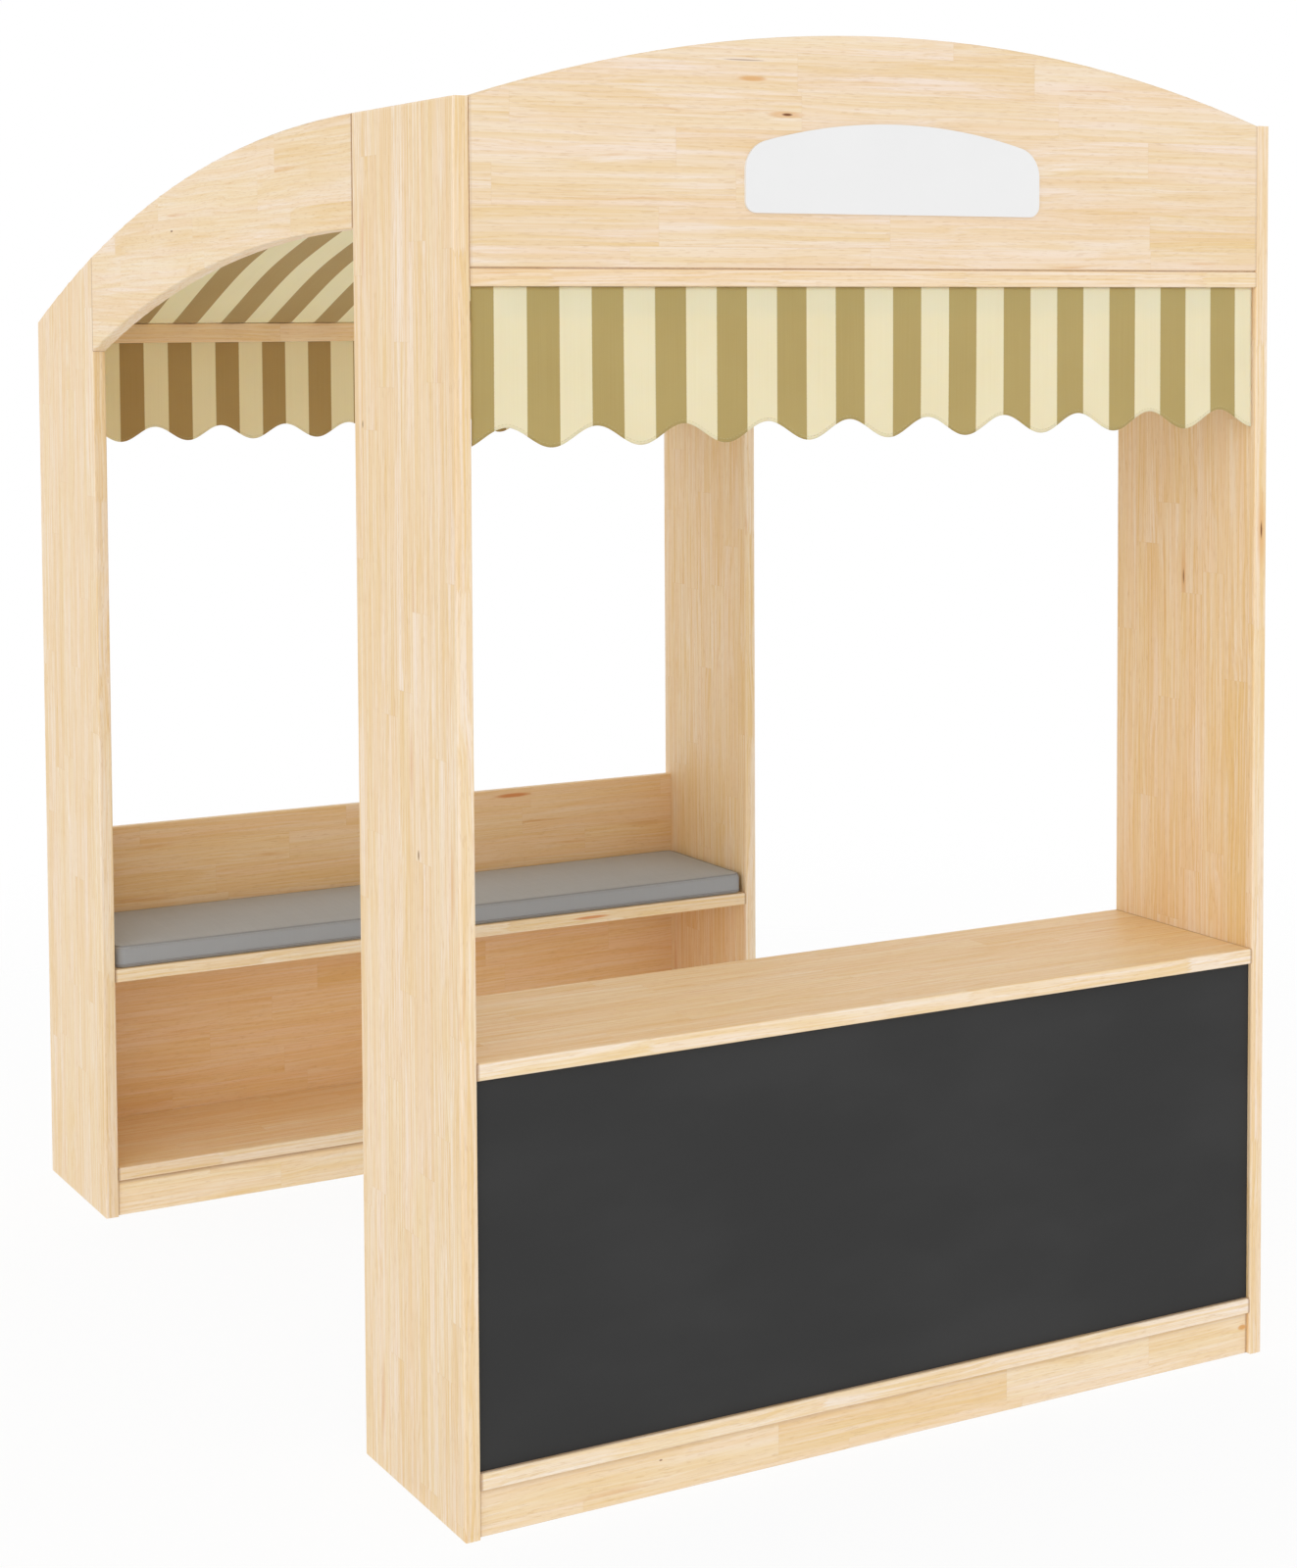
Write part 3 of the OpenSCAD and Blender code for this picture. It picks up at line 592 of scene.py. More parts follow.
# Paler cream for the roof: painted light from below
PALE_CREAM_PAINTED_LIGHT = (srgb(243, 234, 197), srgb(240, 230, 190))


def striped_cloth(name, stripe_start, dark_pair, pale_pair):
    """Striped cotton. A dark stripe begins at stripe_start metres along U."""
    material, tree, shader = new_material(name)
    uv = source(tree, "ShaderNodeUVMap", uv_map="UVMap")
    across, along, _ = split(uv)
    yarns = noise(joined(across * YARN_FINE, along * YARN_LONG, 0.0), 1)
    picks = noise(joined(across * YARN_LONG, along * YARN_FINE, 3.0), 1)
    cloudy = noise(uv * (9, 9, 9), 3)
    turn = (across - stripe_start + (picks - 0.5) * 0.0006) / STRIPE
    dark = ramp((turn * math.pi).by("SINE"), -0.03, 0.03)
    shade = ramp(cloudy * 0.6 + yarns * 0.4, 0.3, 0.75)
    stripes = mixed(dark, mixed(shade, *pale_pair), mixed(shade, *dark_pair))
    warp, weft = [(way * (math.tau / YARN)).by("SINE") for way in (across, along)]
    feed(tree, shader, {
        "Base Color": stripes, "Roughness": picks * 0.1 + 0.82, "Specular IOR Level": 0.2,
        "Subsurface Weight": 0.5, "Subsurface Radius": (1.0, 0.8, 0.5), "Subsurface Scale": 0.002,
        "Sheen Weight": 0.12, "Sheen Roughness": 0.5})
    bumped(shader, warp * weft * 0.5 + picks * 0.6, 0.0002, 0.5)
    return material


def thread_finish(name, colour):
    """Sewing thread or seam cloth: a fine twist makes it lighter and darker."""
    darker = tuple(c * 0.8 for c in colour[:3]) + (1.0,)
    return speckled(name, (colour, darker), (2500, 2500, 2500), 1, rough=0.7, strength=0.6)


FRONT_CLOTH = striped_cloth("striped_cloth_front", 0.0, OLIVE, CREAM)
REAR_CLOTH = striped_cloth("striped_cloth_rear", STRIPE, BARK_PAINTED_SHADE, CREAM)
ROOF_CLOTH = striped_cloth("striped_cloth_roof", STRIPE, BARK_PAINTED_SHADE, PALE_CREAM_PAINTED_LIGHT)
STRIPE_THREAD = thread_finish("stripe_thread", srgb(206, 194, 146))
print("striped cloth ready, stripe", STRIPE)

# %% [markdown]
# ## From a node tree to a plain mesh
# Geometry Nodes are handy for what repeats or follows a rule, but the finished piece has to be an ordinary
# mesh. The helper grown hangs a tree on an object, sets its inputs by the sockets' identifiers, evaluates it
# once and keeps the result as a new object at the origin.

# %% Geometry Nodes helpers
def new_shape_tree(name, inputs):
    """A geometry tree, its inputs as fields by name, and its output node."""
    geometry = {"Geometry": "Geometry"}
    return new_tree(name, "GeometryNodeTree", {**geometry, **inputs}, geometry)


def end_tree(tree, geometry, material, made):
    """Ends a tree: instances become real, faces are smooth and take the material."""
    for kind in ("GeometryNodeRealizeInstances", "GeometryNodeSetShadeSmooth"):
        geometry = add_node(tree, kind, {"Geometry": geometry}).outputs[0]
    dressed = add_node(tree, "GeometryNodeSetMaterial", {"Geometry": geometry, "Material": material})
    feed(tree, made, {0: dressed.outputs[0]})


def grown(name, tree, values, start=None):
    """Runs a tree on a start object, or on nothing, and keeps the result as a plain mesh piece."""
    base = start or bpy.data.objects.new(name + "_base", bpy.data.meshes.new(name + "_base"))
    scene.collection.objects.link(base)
    modifier = base.modifiers.new("shape", "NODES")
    modifier.node_group = tree
    for item in tree.interface.items_tree:
        if item.in_out == "INPUT" and item.name in values:
            modifier[item.identifier] = values[item.name]
    bpy.context.view_layer.update()
    evaluated = base.evaluated_get(bpy.context.evaluated_depsgraph_get())
    mesh = bpy.data.meshes.new_from_object(evaluated)
    base.modifiers.remove(modifier)
    bpy.data.objects.remove(base)
    mesh.name = name
    piece = bpy.data.objects.new(name, mesh)
    scene.collection.objects.link(piece)
    return piece


# %% [markdown]
# ## Sheets of cloth
# A sheet starts as a flat grid, cut to size. Each point keeps its place on the flat cloth while the sheet is
# bent, and in the end that place becomes the UV map. So the stripes bend with the cloth.

# %% Helpers for sheets
CLOTH = 0.0009


def flat_sheet(tree, given, width, length):
    """A flat grid of cloth, and the three coordinates of its points."""
    grid = add_node(tree, "GeometryNodeMeshGrid", {
        "Size X": width, "Size Y": length, "Vertices X": given["Columns"], "Vertices Y": given["Rows"]})
    return grid.outputs["Mesh"], split(source(tree, "GeometryNodeInputPosition"))


def kept_flat(tree, sheet, flat):
    """The sheet with each point's place on the flat cloth kept, and that place."""
    kept = add_node(tree, "GeometryNodeCaptureAttribute", {"Geometry": sheet})
    kept.capture_items.new("VECTOR", "Flat")
    feed(tree, kept, {"Flat": flat})
    return kept.outputs["Geometry"], Arrow(tree, kept.outputs["Flat"])


def moved(tree, sheet, place):
    """The sheet with its points moved to another place."""
    return add_node(tree, "GeometryNodeSetPosition", {"Geometry": sheet, "Position": place}).outputs[0]


def end_sheet(tree, sheet, flat, cloth, made):
    """Ends a tree that makes cloth: the place on the flat cloth becomes its UV map."""
    inputs = {"Geometry": sheet, "Name": "UVMap", "Value": flat}
    mapped = add_node(tree, "GeometryNodeStoreNamedAttribute", inputs, data_type="FLOAT2", domain="CORNER")
    end_tree(tree, mapped.outputs[0], cloth, made)


def grown_sheet(name, tree, values, node_name):
    """A sheet from a tree, with half its thickness on either side, in place of a CAD node."""
    sheet = grown(name, tree, values)
    solid = sheet.modifiers.new("thickness", "SOLIDIFY")
    solid.thickness = CLOTH
    solid.offset = 0.0
    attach(sheet, STALL)
    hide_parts(node_name)
    return sheet


# %% [markdown]
# ## Valances
# A valance is a flat strip with a wavy cut hem. Its outline is one cosine: a trough near the middle and a
# wave every 102 mm. That is a rule, so a tree makes it: a grid is pulled down to the hem, and a little slack
# lets the cloth swing by a millimetre towards the hem, as hung cotton does. It is sewn double and turned
# right side out, so that the wavy edge is clean and only a fine row of stitches runs beside it.

# %% Valance tree
WAVE_PITCH = 0.1024
WAVE_START = -0.0052
WAVE_HEIGHT = 0.021
SLACK = 0.0008
VALANCE_COLUMNS = 337
VALANCE_ROWS = 40


def valance_tree():
    """A strip of cloth with a straight top and a wavy hem."""
    tree, given, made = new_shape_tree("valance", {
        "Float": "Width, Drop, Pitch, Trough, Wave, Slack", "Int": "Columns, Rows",
        "Vector": "Place", "Material": "Cloth"})
    grid, (x, y, _) = flat_sheet(tree, given, given["Width"], 1.0)
    turn = (x - given["Trough"]) / given["Pitch"] * math.tau
    length = given["Drop"] + turn.by("COSINE") * (given["Wave"] * 0.5)
    hang = length * (0.5 - y)
    swing = (x * 23.0).by("SINE") * 0.6 + (x * 9.0 + 0.8).by("SINE")
    sway = swing * given["Slack"] * (hang / given["Drop"]) ** 2
    sheet, flat = kept_flat(tree, grid, joined(x, hang, 0.0))
    hung = joined(x, sway, -hang) + given["Place"]
    end_sheet(tree, moved(tree, sheet, hung), flat, given["Cloth"], made)
    return tree


VALANCE_TREE = valance_tree()

# %% Hang both valances
def hang_valance(node_name, outward, cloth):
    """One valance. outward is the side that shows: -1 to the front, 1 to the back."""
    low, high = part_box(node_name)
    width = high.x - low.x
    drop = high.z - low.z - WAVE_HEIGHT / 2
    face = low.y if outward < 0 else high.y
    place = Vector((0, face - outward * CLOTH / 2, high.z))
    strip = grown_sheet(node_name + "_cloth", VALANCE_TREE, {
        "Width": width, "Drop": drop, "Pitch": WAVE_PITCH, "Trough": -outward * WAVE_START,
        "Wave": WAVE_HEIGHT, "Slack": SLACK, "Columns": VALANCE_COLUMNS, "Rows": VALANCE_ROWS,
        "Place": place, "Cloth": cloth}, node_name)
    return strip, place, width, drop


front_strip, front_place, valance_w, valance_drop = hang_valance("front_valance", -1, FRONT_CLOTH)
rear_strip, rear_place, _, _ = hang_valance("rear_valance", 1, REAR_CLOTH)
print("valance cut", round(valance_w, 3), "x", round(valance_drop + WAVE_HEIGHT / 2, 3))

# %% [markdown]
# ## Stitches
# A row of stitches is the same short length of thread again and again along a path. A tree resamples the
# path at the stitch pitch and sets one small rounded stitch on each point, turned along the path. The path
# itself is found by casting rays at the cloth, so that the thread lies on it and not in it.

# %% Stitch tree
STITCH_PITCH = 0.0042
STITCH_LENGTH = 0.0032
THREAD_RADIUS = 0.00018
RAY_START = 0.5


def stitch_tree():
    """Stitches along the path of the object that carries the tree."""
    tree, given, made = new_shape_tree("stitches", {"Float": "Pitch, Length, Radius", "Material": "Thread"})
    path = {"Curve": given["Geometry"], "Length": given["Pitch"]}
    points = add_node(tree, "GeometryNodeResampleCurve", path, mode="LENGTH")
    bead = add_node(tree, "GeometryNodeMeshUVSphere", {"Segments": 5, "Rings": 4, "Radius": 1.0})
    shape = joined(given["Length"] * 0.5, given["Radius"], given["Radius"])
    stitch = add_node(tree, "GeometryNodeTransform", {"Geometry": bead.outputs["Mesh"], "Scale": shape})
    tangent = add_node(tree, "GeometryNodeInputTangent").outputs[0]
    turned_along = add_node(tree, "FunctionNodeAlignRotationToVector", {"Vector": tangent}, axis="X")
    row = add_node(tree, "GeometryNodeInstanceOnPoints", {
        "Points": points.outputs[0], "Instance": stitch.outputs[0], "Rotation": turned_along.outputs[0]})
    end_tree(tree, row.outputs[0], given["Thread"], made)
    return tree


STITCH_TREE = stitch_tree()


def path_object(name, points, closed=False):
    """A path of straight steps through points, for a tree to follow."""
    curve = bpy.data.curves.new(name, "CURVE")
    curve.dimensions = "3D"
    spline = curve.splines.new("POLY")
    spline.points.add(len(points) - 1)
    for target, point in zip(spline.points, points):
        target.co = (*point, 1.0)
    spline.use_cyclic_u = closed
    return bpy.data.objects.new(name, curve)


def stitched(name, points, thread, closed=False):
    """One row of stitches along points."""
    values = {"Pitch": STITCH_PITCH, "Length": STITCH_LENGTH, "Radius": THREAD_RADIUS, "Thread": thread}
    return grown(name, STITCH_TREE, values, path_object(name + "_path", points, closed))


def surface_of(piece):
    """The piece's surface as it is now, to cast rays at."""
    return BVHTree.FromObject(piece, bpy.context.evaluated_depsgraph_get())


def laid_on(surface, points, towards):
    """Points moved along a direction until they lie on a surface. Points that miss it are left out."""
    direction = Vector(towards)
    hits = [surface.ray_cast(Vector(p) - direction * RAY_START, direction)[0] for p in points]
    return [hit for hit in hits if hit]


def sewn(name, surface, points, towards):
    """A row of stitches on the stall's cloth, laid on it along a direction."""
    row = stitched(name, laid_on(surface, points, towards), STRIPE_THREAD)
    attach(row, STALL)
    return row


def between(start, end, steps):
    """Even steps from start to end, with both."""
    return [start + (end - start) * i / steps for i in range(steps + 1)]


# %% Sew the valances
HEM_SEAM = 0.0035
HEM_ENDS = 0.004
HEM_STEPS = 240


def sew_valance(node_name, strip, place, outward):
    """Stitches along the wavy hem, on both sides of the cloth."""
    half = valance_w / 2 - HEM_ENDS

    def hem_line(x):
        turn = math.tau * (x + outward * WAVE_START) / WAVE_PITCH
        return place.z - valance_drop - WAVE_HEIGHT / 2 * math.cos(turn) + HEM_SEAM

    hem = [(x, place.y, hem_line(x)) for x in between(-half, half, HEM_STEPS)]
    rows = [
        sewn(node_name + "_stitches_" + side, surface_of(strip), hem, towards)
        for side, towards in (("outer", (0, -outward, 0)), ("inner", (0, outward, 0)))]


sew_valance("front_valance", front_strip, front_place, -1)
sew_valance("rear_valance", rear_strip, rear_place, 1)

# %% [markdown]
# ## Roof cloth
# The roof is one sheet. It lies just under the top edge of the side bands: level over the counter, then down
# a long arc to the back. Narrow flaps on all four edges turn down and press on the hook tape. All this is a
# rule as well. A flat grid holds the sheet as it was cut, and the tree bends it: the length wraps along the
# roof line, and whatever reaches past an edge hangs down as a flap. A few millimetres of sag keep it cloth.

# %% Roof cloth tree
def roof_tree():
    """A flat sheet wrapped along the roof line. Half is half its width between the flaps."""
    tree, given, made = new_shape_tree("roof_cloth", {
        "Float": "Half, Length, Level, Radius, Sag, Side Flap, Front Flap, Rear Flap, "
                 "Dip, Dip Start, Dip End, Rest",
        "Int": "Columns, Rows", "Vector": "Place", "Material": "Cloth"})
    half, length, level, radius = [given[name] for name in ("Half", "Length", "Level", "Radius")]
    cut_w = (half + given["Side Flap"]) * 2.0
    cut_l = length + (given["Front Flap"] + given["Rear Flap"])
    grid, (w, l, _) = flat_sheet(tree, given, cut_w, cut_l)
    sheet, flat = kept_flat(tree, grid, joined(w, cut_l * 0.5 + l - given["Front Flap"], 0.0))
    w, s, _ = split(flat)

    # Past an edge the sheet turns down
    side = (abs(w) - half).by("MAXIMUM", 0.0)
    front = (-s).by("MAXIMUM", 0.0)
    rear = (s - length).by("MAXIMUM", 0.0)
    x = w.by("MINIMUM", half).by("MAXIMUM", -half)
    run = s.by("MAXIMUM", 0.0).by("MINIMUM", length)

    # Level first, then along the arc
    angle = (run - level).by("MAXIMUM", 0.0) / radius
    back = angle.by("SINE") * radius + run.by("MINIMUM", level)
    fall = (1.0 - angle.by("COSINE")) * radius

    # Sag is greatest in the middle and nothing where the sheet is held
    out = abs(x / half) ** 2
    slack = (1.0 - out) * (run / length * math.pi).by("SINE") * given["Sag"]

    # Between the side bands it is drawn down to the rear rail, and lies on it
    drawn = ramp(run, given["Dip Start"], given["Dip End"]) * given["Dip"]
    lowered = drawn * (1.0 - out ** 5) + (fall + slack)
    down = lowered.by("MINIMUM", given["Rest"]) + (side + (front + rear))
    bent = moved(tree, sheet, joined(x, back, -down) + given["Place"])

    # The four corners between two flaps are cut out
    corner = side.by("GREATER_THAN", 0.0) * (front + rear).by("GREATER_THAN", 0.0)
    corners = {"Geometry": bent, "Selection": corner}
    cut = add_node(tree, "GeometryNodeDeleteGeometry", corners, domain="FACE")
    end_sheet(tree, cut.outputs[0], flat, given["Cloth"], made)
    return tree


# %% Stretch the roof cloth
ROOF_FALL = 0.220
ROOF_UNDER = 0.004
SIDE_FLAP = 0.018
FRONT_FLAP = 0.016
REAR_FLAP = 0.0108
ROOF_SAG = 0.006
ROOF_DIP = 0.009
ROOF_DIP_RUN = 0.26
ROOF_COLUMNS = 174
ROOF_ROWS = 178


def stretch_roof():
    low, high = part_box("roof_canopy")
    front_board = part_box("front_left_upright")[1]
    rear_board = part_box("rear_left_upright")[1]
    span = rear_board.y - front_board.y
    roof_radius = (span ** 2 + ROOF_FALL ** 2) / (2 * ROOF_FALL)
    radius = roof_radius - ROOF_UNDER
    level = front_board.y - low.y
    arc = radius * math.asin((high.y - CLOTH / 2 - front_board.y) / radius)
    half = high.x - CLOTH / 2
    place = Vector((0, low.y + CLOTH / 2, front_board.z - ROOF_UNDER))
    rail_low, rail_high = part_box("rear_rail")
    at_rail = level + radius * math.asin((rail_low.y - front_board.y) / radius)
    sheet = grown_sheet("roof_cloth", roof_tree(), {
        "Half": half, "Length": level + arc, "Level": level, "Radius": radius, "Sag": ROOF_SAG,
        "Side Flap": SIDE_FLAP, "Front Flap": FRONT_FLAP, "Rear Flap": REAR_FLAP,
        "Dip": ROOF_DIP, "Dip Start": at_rail - ROOF_DIP_RUN, "Dip End": at_rail,
        "Rest": place.z - rail_high.z - CLOTH, "Columns": ROOF_COLUMNS + 1, "Rows": ROOF_ROWS + 1,
        "Place": place, "Cloth": ROOF_CLOTH}, "roof_canopy")
    flat = (2 * (half + SIDE_FLAP), level + arc + FRONT_FLAP + REAR_FLAP)
    return sheet, flat


roof_cloth, roof_flat = stretch_roof()
print("roof cut", [round(v, 3) for v in roof_flat])

# %% Sew the roof cloth
ROOF_SEAM = 0.012
ROOF_SEAM_STEPS = 120
ROOF_RAYS = 1.4


def sew_roof():
    """One row of stitches inside each edge, on the upper side, and another below it."""
    surface = surface_of(roof_cloth)
    low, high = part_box("roof_canopy")
    left = low.x + ROOF_SEAM
    right = high.x - ROOF_SEAM
    front = low.y + ROOF_SEAM
    rear = high.y - ROOF_SEAM
    edges = {
        "left": ((left, front), (left, rear)), "right": ((right, front), (right, rear)),
        "front": ((left, front), (right, front)), "rear": ((left, rear), (right, rear)),
    }
    for edge, (start, end) in edges.items():
        xs, ys = [between(a, b, ROOF_SEAM_STEPS) for a, b in zip(start, end)]
        path = [(x, y, ROOF_RAYS) for x, y in zip(xs, ys)]
        for side, towards in (("upper", (0, 0, -1)), ("under", (0, 0, 1))):
            sewn("roof_stitches_" + edge + "_" + side, surface, path, towards)


sew_roof()

# %% [markdown]
# ## Bench cushion
# The cushion is a foam slab in a sewn cover: a top, a bottom and a boxing strip round the sides. The sides
# are painted a shade darker than the top as painted shade. A slab of plain faces looks like a block, because
# real foam pushes its cover out between the seams. Cloth simulation does just that. A slightly lower slab
# with a round upper edge and a tight lower one is cut into small even faces and blown up from inside for a
# few frames. The seams hold the rim, so a point may move further the further it lies from them, which leaves
# a low crown. Whatever would sink below the seat is set back on it, so the pad is flat only where it rests.

# %% Cushion cover finish
COVER_GREY = srgb(172, 172, 172)
COVER_DEEP = srgb(165, 164, 163)
# Darker grey for the cushion's sides: painted shade
COVER_SIDE_PAINTED_SHADE = srgb(153, 153, 153)
COVER_YARN = 0.0013


def cover_finish():
    material, tree, shader = new_material("cushion_cover")
    place = object_place(tree)
    x, y, z = split(place)
    warp, weft = [(way * (math.tau / COVER_YARN)).by("SINE") for way in (z * 0.31 + x, y + z)]
    weave = warp * weft
    slub = noise(place * (14, 750, 750))
    cross = noise(place * (750, 14, 14))
    cloudy = noise(place * (9, 9, 9))
    yarns = (slub + cross) * 0.4 + cloudy * 0.2
    colour = mixed(ramp(yarns, 0.35, 0.65), COVER_DEEP, COVER_GREY)
    colour = mixed(weave * 0.10 + 0.10, colour, COVER_DEEP)
    # Painted shade: faces that stand upright are mixed towards the darker side grey
    upward = split(source(tree, "ShaderNodeNewGeometry", "Normal"))[2]
    painted_side_shade = ramp(abs(upward), 0.3, 0.8, 0.75, 0)
    feed(tree, shader, {
        "Base Color": mixed(painted_side_shade, colour, COVER_SIDE_PAINTED_SHADE), "Roughness": yarns * 0.15 + 0.78,
        "Specular IOR Level": 0.25, "Sheen Weight": 0.15, "Sheen Roughness": 0.5})
    bumped(shader, weave * 0.4 + yarns, 0.00012, 0.6)
    return material


COVER = cover_finish()

# %% Cut the cushion's slab
PAD_LOWER = 0.0005
PAD_CORNER = 0.013
PAD_CORNER_STEPS = 5
PAD_EDGE = 0.0075
PAD_FOOT = 0.003
PAD_RIM_STEPS = 4
PAD_PITCH = 0.008
SAME_LEVEL = PAD_FOOT / 9


def cut_evenly(bm, axis, start, end):
    """Cuts a mesh by planes across an axis between start and end, about PAD_PITCH apart."""
    normal = [0, 0, 0]
    normal[axis] = 1
    count = max(1, round((end - start) / PAD_PITCH))
    for step in range(1, count):
        point = [0, 0, 0]
        point[axis] = start + (end - start) * step / count
        everything = bm.verts[:] + bm.edges[:] + bm.faces[:]
        bmesh.ops.bisect_plane(bm, geom=everything, plane_co=point, plane_no=normal)


def rounded_slab(name, low, high):
    """A slab with round upright corners and soft edges, cut into small even faces."""
    bm = bmesh.new()
    size = high - low
    middle = (low + high) / 2
    bmesh.ops.create_cube(bm, size=1.0, matrix=Matrix.Translation(middle) @ Matrix.Diagonal((*size, 1)))

    def rounded(edges, radius, steps):
        bmesh.ops.bevel(bm, geom=edges, offset=radius, segments=steps, profile=0.5, affect="EDGES")

    upright = [e for e in bm.edges if abs(e.verts[0].co.z - e.verts[1].co.z) > size.z / 2]
    rounded(upright, PAD_CORNER, PAD_CORNER_STEPS)
    for height, radius in ((high.z, PAD_EDGE), (low.z, PAD_FOOT)):
        rim = [e for e in bm.edges if all(abs(v.co.z - height) < SAME_LEVEL for v in e.verts)]
        rounded(rim, radius, PAD_RIM_STEPS)
    cut_evenly(bm, 0, low.x + PAD_CORNER, high.x - PAD_CORNER)
    cut_evenly(bm, 1, low.y + PAD_CORNER, high.y - PAD_CORNER)
    cut_evenly(bm, 2, low.z + PAD_FOOT, high.z - PAD_EDGE)
    mesh = bpy.data.meshes.new(name)
    bm.to_mesh(mesh)
    bm.free()
    piece = bpy.data.objects.new(name, mesh)
    scene.collection.objects.link(piece)
    return piece


# %% Blow up the cushion
PAD_PRESSURE = 4.0
PAD_FRAMES = 20
PAD_SWELL = 0.005
PAD_RIM_SHARE = 0.2


def applied(piece):
    """Replaces a piece's mesh by what its modifiers make of it, and removes them."""
    bpy.context.view_layer.update()
    made = bpy.data.meshes.new_from_object(piece.evaluated_get(bpy.context.evaluated_depsgraph_get()))
    piece.modifiers.clear()
    piece.data = made


def allowed_swell(point, low, high):
    """How far a point of the cover may move: most in the middle, and little at the rim."""
    u = (2 * point.x - low.x - high.x) / (high.x - low.x)
    v = (2 * point.y - low.y - high.y) / (high.y - low.y)
    crown = max(0.0, 1 - u ** 8) * max(0.0, 1 - v ** 2)
    return PAD_SWELL * (PAD_RIM_SHARE + (1 - PAD_RIM_SHARE) * crown)


def inflate(piece, low, high):
    """Blows the piece up from inside. No point moves more than it may or ends below the seat."""
    start = [v.co.copy() for v in piece.data.vertices]
    cloth = piece.modifiers.new("swell", "CLOTH")
    cloth.settings.use_pressure = True
    cloth.settings.uniform_pressure_force = PAD_PRESSURE
    cloth.settings.effector_weights.gravity = 0.0
    cloth.point_cache.frame_end = PAD_FRAMES
    for number in range(1, PAD_FRAMES + 1):
        scene.frame_set(number)
    applied(piece)
    scene.frame_set(1)
    for vertex, begin in zip(piece.data.vertices, start):
        move = vertex.co - begin
        most = allowed_swell(begin, low, high)
        if move.length > most:
            vertex.co = begin + move.normalized() * most
        vertex.co.z = max(vertex.co.z, low.z)


def make_cushion():
    low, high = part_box("seat_cushion")
    pad = rounded_slab("bench_cushion", low, high - Vector((0, 0, PAD_LOWER)))
    inflate(pad, low, high)
    smooth = pad.modifiers.new("round", "SUBSURF")
    smooth.levels = 1
    smooth.render_levels = 1
    applied(pad)
    pad.data.materials.clear()
    pad.data.materials.append(COVER)
    for face in pad.data.polygons:
        face.use_smooth = True
    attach(pad, CUSHION)
    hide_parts("seat_cushion")
    return pad


cushion = make_cushion()
print("cushion faces", len(cushion.data.polygons))

# %% [markdown]
# ## Cushion seams
# The cover's panels meet in a seam along the top and the bottom edge. A seam is a thin ridge of doubled
# cloth, and a row of stitches runs beside it. Both paths are found on the finished cushion.

# %% Seam tree and cushion seams
SEAM_RADIUS = 0.0013
SEAM_DOWN = 0.004
SEAM_INSET = 0.002
SEAM_STEP = 0.012
SEAM_TURNS = 6
# The seam ridge is a real ridge of cloth, but its grey is set darker than the cover as painted shade of the
# soft band along the edge
SEAM_CLOTH_PAINTED_SHADE = thread_finish("cover_seam_painted_shade", srgb(150, 148, 146))
SEAM_THREAD = thread_finish("cover_thread", srgb(128, 124, 119))


def seam_tree():
    """A round ridge along the path of the object that carries the tree."""
    tree, given, made = new_shape_tree("seam", {"Float": "Radius", "Material": "Cloth"})
    ring = add_node(tree, "GeometryNodeCurvePrimitiveCircle", {"Resolution": 6, "Radius": given["Radius"]})
    tube = add_node(tree, "GeometryNodeCurveToMesh", {
        "Curve": given["Geometry"], "Profile Curve": ring.outputs["Curve"]})
    end_tree(tree, tube.outputs[0], given["Cloth"], made)
    return tree


SEAM_TREE = seam_tree()


def round_the_cushion(height, inset):
    """Points round the cushion at a height, inset from its box. A negative inset lies outside the box."""
    low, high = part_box("seat_cushion")
    half = (high - low) / 2 - Vector((inset + PAD_CORNER, inset + PAD_CORNER, 0))
    middle = (low + high) / 2
    points = []
    for quarter, (sign_x, sign_y) in enumerate(((1, 1), (-1, 1), (-1, -1), (1, -1))):
        centre = Vector((middle.x + sign_x * half.x, middle.y + sign_y * half.y, height))
        for step in range(SEAM_TURNS + 1):
            angle = math.radians(90 * (quarter + step / SEAM_TURNS))
            points.append(centre + Vector((math.cos(angle), math.sin(angle), 0)) * PAD_CORNER)
    dense = []
    for a, b in zip(points, points[1:] + points[:1]):
        count = max(1, round((b - a).length / SEAM_STEP))
        dense += [a.lerp(b, i / count) for i in range(count)]
    return dense


def sew_cushion():
    surface = surface_of(cushion)
    low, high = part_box("seat_cushion")

    def path_at(height, inset):
        return [surface.find_nearest(point)[0] for point in round_the_cushion(height, inset)]

    pieces = []
    for name, height, inset in (("top", high.z, SEAM_INSET), ("bottom", low.z + SEAM_DOWN, 0.0)):
        path = path_object(name + "_seam_path", path_at(height, inset), True)
        values = {"Radius": SEAM_RADIUS, "Cloth": SEAM_CLOTH_PAINTED_SHADE}
        pieces.append(grown("cushion_seam_" + name, SEAM_TREE, values, path))
        beside = path_at(height - SEAM_DOWN / 2, -SEAM_INSET)
        pieces.append(stitched("cushion_stitches_" + name, beside, SEAM_THREAD, True))
    for piece in pieces:
        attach(piece, CUSHION)


sew_cushion()

# %% [markdown]
# ## Lamps, floor and background
# A product picture has soft light from all round, a little stronger from the front left, on a pale floor that
# runs out into white. The world gives the even part: like a ring of white walls, it is brighter at eye level
# than overhead, which keeps upright boards pale and lying boards a shade deeper. Two very wide distant lamps
# add direction. The floor works like a light table, a sheet of white acrylic lit from below: it takes the
# stall's shadow, but lets most of the world's light through to the stall. The camera, a mirror or glass sees
# it blended with white, and further away it fades out into the white background.

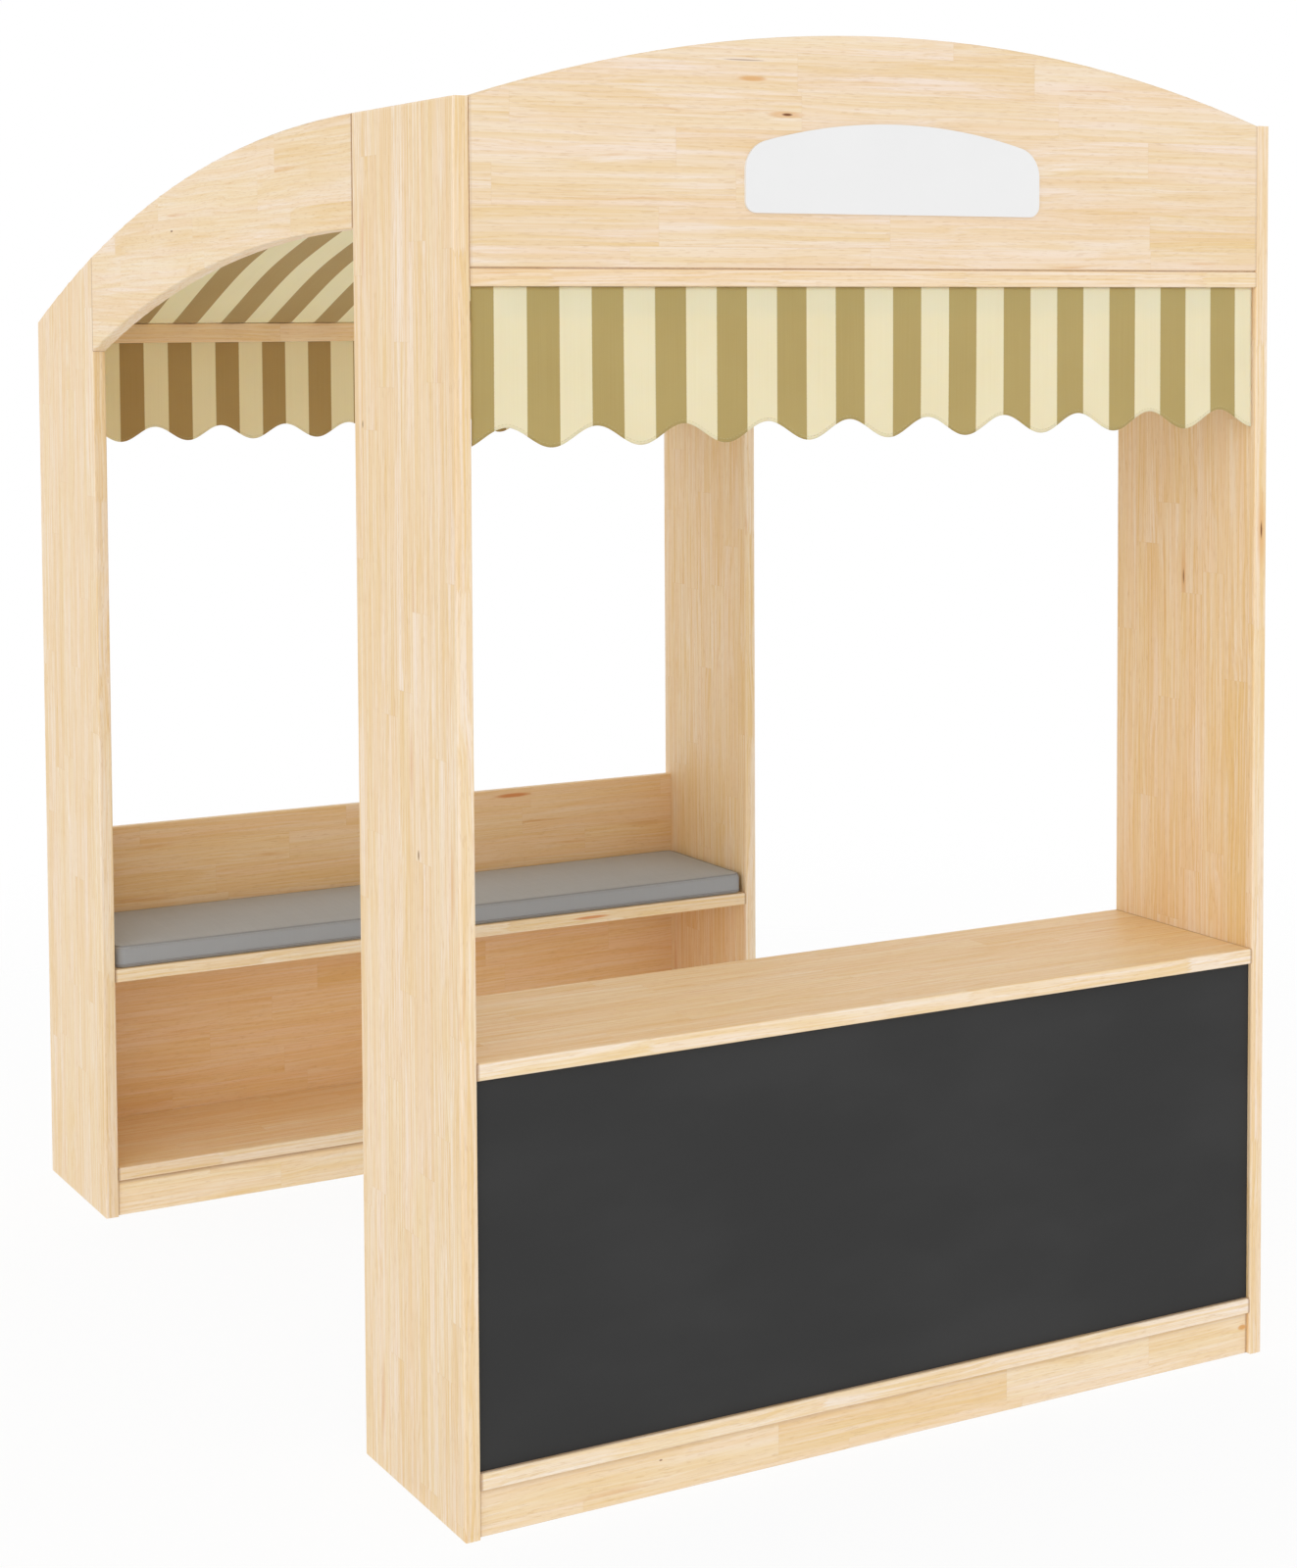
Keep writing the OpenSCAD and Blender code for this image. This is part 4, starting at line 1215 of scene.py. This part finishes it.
# %% Light and floor
WHITE = (1.0, 1.0, 1.0, 1.0)
HORIZON_LEVEL = 0.98
ZENITH_LEVEL = 0.65
GROUND_LEVEL = 0.92
GROUND_EDGE = -0.3
KEY_TOWARDS = (0.60, 0.72, -0.42)
KEY_SPREAD = 80
KEY_LEVEL = 0.75
FILL_TOWARDS = (-0.66, -0.66, -0.36)
FILL_SPREAD = 90
FILL_LEVEL = 0.30
FLOOR_HALF = 9.0
FLOOR_GREY = (0.95, 0.95, 0.95, 1.0)
FLOOR_WHITE = 0.92
FLOOR_CLEAR = 0.8
FLOOR_FADE = (1.5, 3.2)


def seen_directly(tree):
    """1 for rays that show the background: from the camera, or by way of a mirror or glass."""
    path = add_node(tree, "ShaderNodeLightPath").outputs
    direct = Field(tree, path["Is Camera Ray"]).by("MAXIMUM", path["Is Glossy Ray"])
    return direct.by("MAXIMUM", path["Is Transmission Ray"])


def blended(share, first, second):
    """A node that mixes two shader nodes, by the share of the second."""
    inputs = {0: share, 1: first.outputs[0], 2: second.outputs[0]}
    return add_node(share.tree, "ShaderNodeMixShader", inputs)


def make_world():
    world = bpy.data.worlds.new("studio")
    scene.world = world
    world.use_nodes = True
    tree = world.node_tree
    tree.nodes.clear()
    height = split(source(tree, "ShaderNodeTexCoord", "Generated"))[2]
    upper = ramp(height, 0.0, 1.0, HORIZON_LEVEL, ZENITH_LEVEL)
    level = upper.by("MINIMUM", ramp(height, GROUND_EDGE, 0.0, GROUND_LEVEL, HORIZON_LEVEL))
    light = add_node(tree, "ShaderNodeBackground", {"Color": WHITE, "Strength": level})
    shown = add_node(tree, "ShaderNodeBackground", {"Color": WHITE, "Strength": 1.0})
    both = blended(seen_directly(tree), light, shown)
    add_node(tree, "ShaderNodeOutputWorld", {0: both.outputs[0]})


def make_lamp(name, towards, spread, level):
    """A wide, distant lamp that shines along a direction, so that no part is nearer to it than another."""
    lamp = bpy.data.objects.new(name, bpy.data.lights.new(name, "SUN"))
    scene.collection.objects.link(lamp)
    lamp.data.energy = level
    lamp.data.angle = math.radians(spread)
    lamp.rotation_euler = Vector(towards).to_track_quat("-Z", "Y").to_euler()


def make_floor():
    mesh = bpy.data.meshes.new("floor")
    corners = [(x * FLOOR_HALF, y * FLOOR_HALF, 0) for x, y in ((-1, -1), (1, -1), (1, 1), (-1, 1))]
    mesh.from_pydata(corners, [], [(0, 1, 2, 3)])
    floor = bpy.data.objects.new("floor", mesh)
    scene.collection.objects.link(floor)
    material, tree, shader = new_material("floor_white")
    feed(tree, shader, {"Base Color": FLOOR_GREY, "Roughness": 0.9, "Specular IOR Level": 0.0})
    white = add_node(tree, "ShaderNodeEmission", {"Color": WHITE, "Strength": 1.0})
    pale = blended(seen_directly(tree) * FLOOR_WHITE, shader, white)
    place = {0: object_place(tree)}
    away = Field(tree, add_node(tree, "ShaderNodeVectorMath", place, operation="LENGTH").outputs["Value"])
    diffuse = source(tree, "ShaderNodeLightPath", "Is Diffuse Ray")
    gone = ramp(away, *FLOOR_FADE).by("MAXIMUM", diffuse * FLOOR_CLEAR)
    fade = blended(gone, pale, add_node(tree, "ShaderNodeBsdfTransparent"))
    feed(tree, tree.nodes["Material Output"], {0: fade.outputs[0]})
    mesh.materials.append(material)


make_world()
make_lamp("key", KEY_TOWARDS, KEY_SPREAD, KEY_LEVEL)
make_lamp("fill", FILL_TOWARDS, FILL_SPREAD, FILL_LEVEL)
make_floor()
print("lights ready")
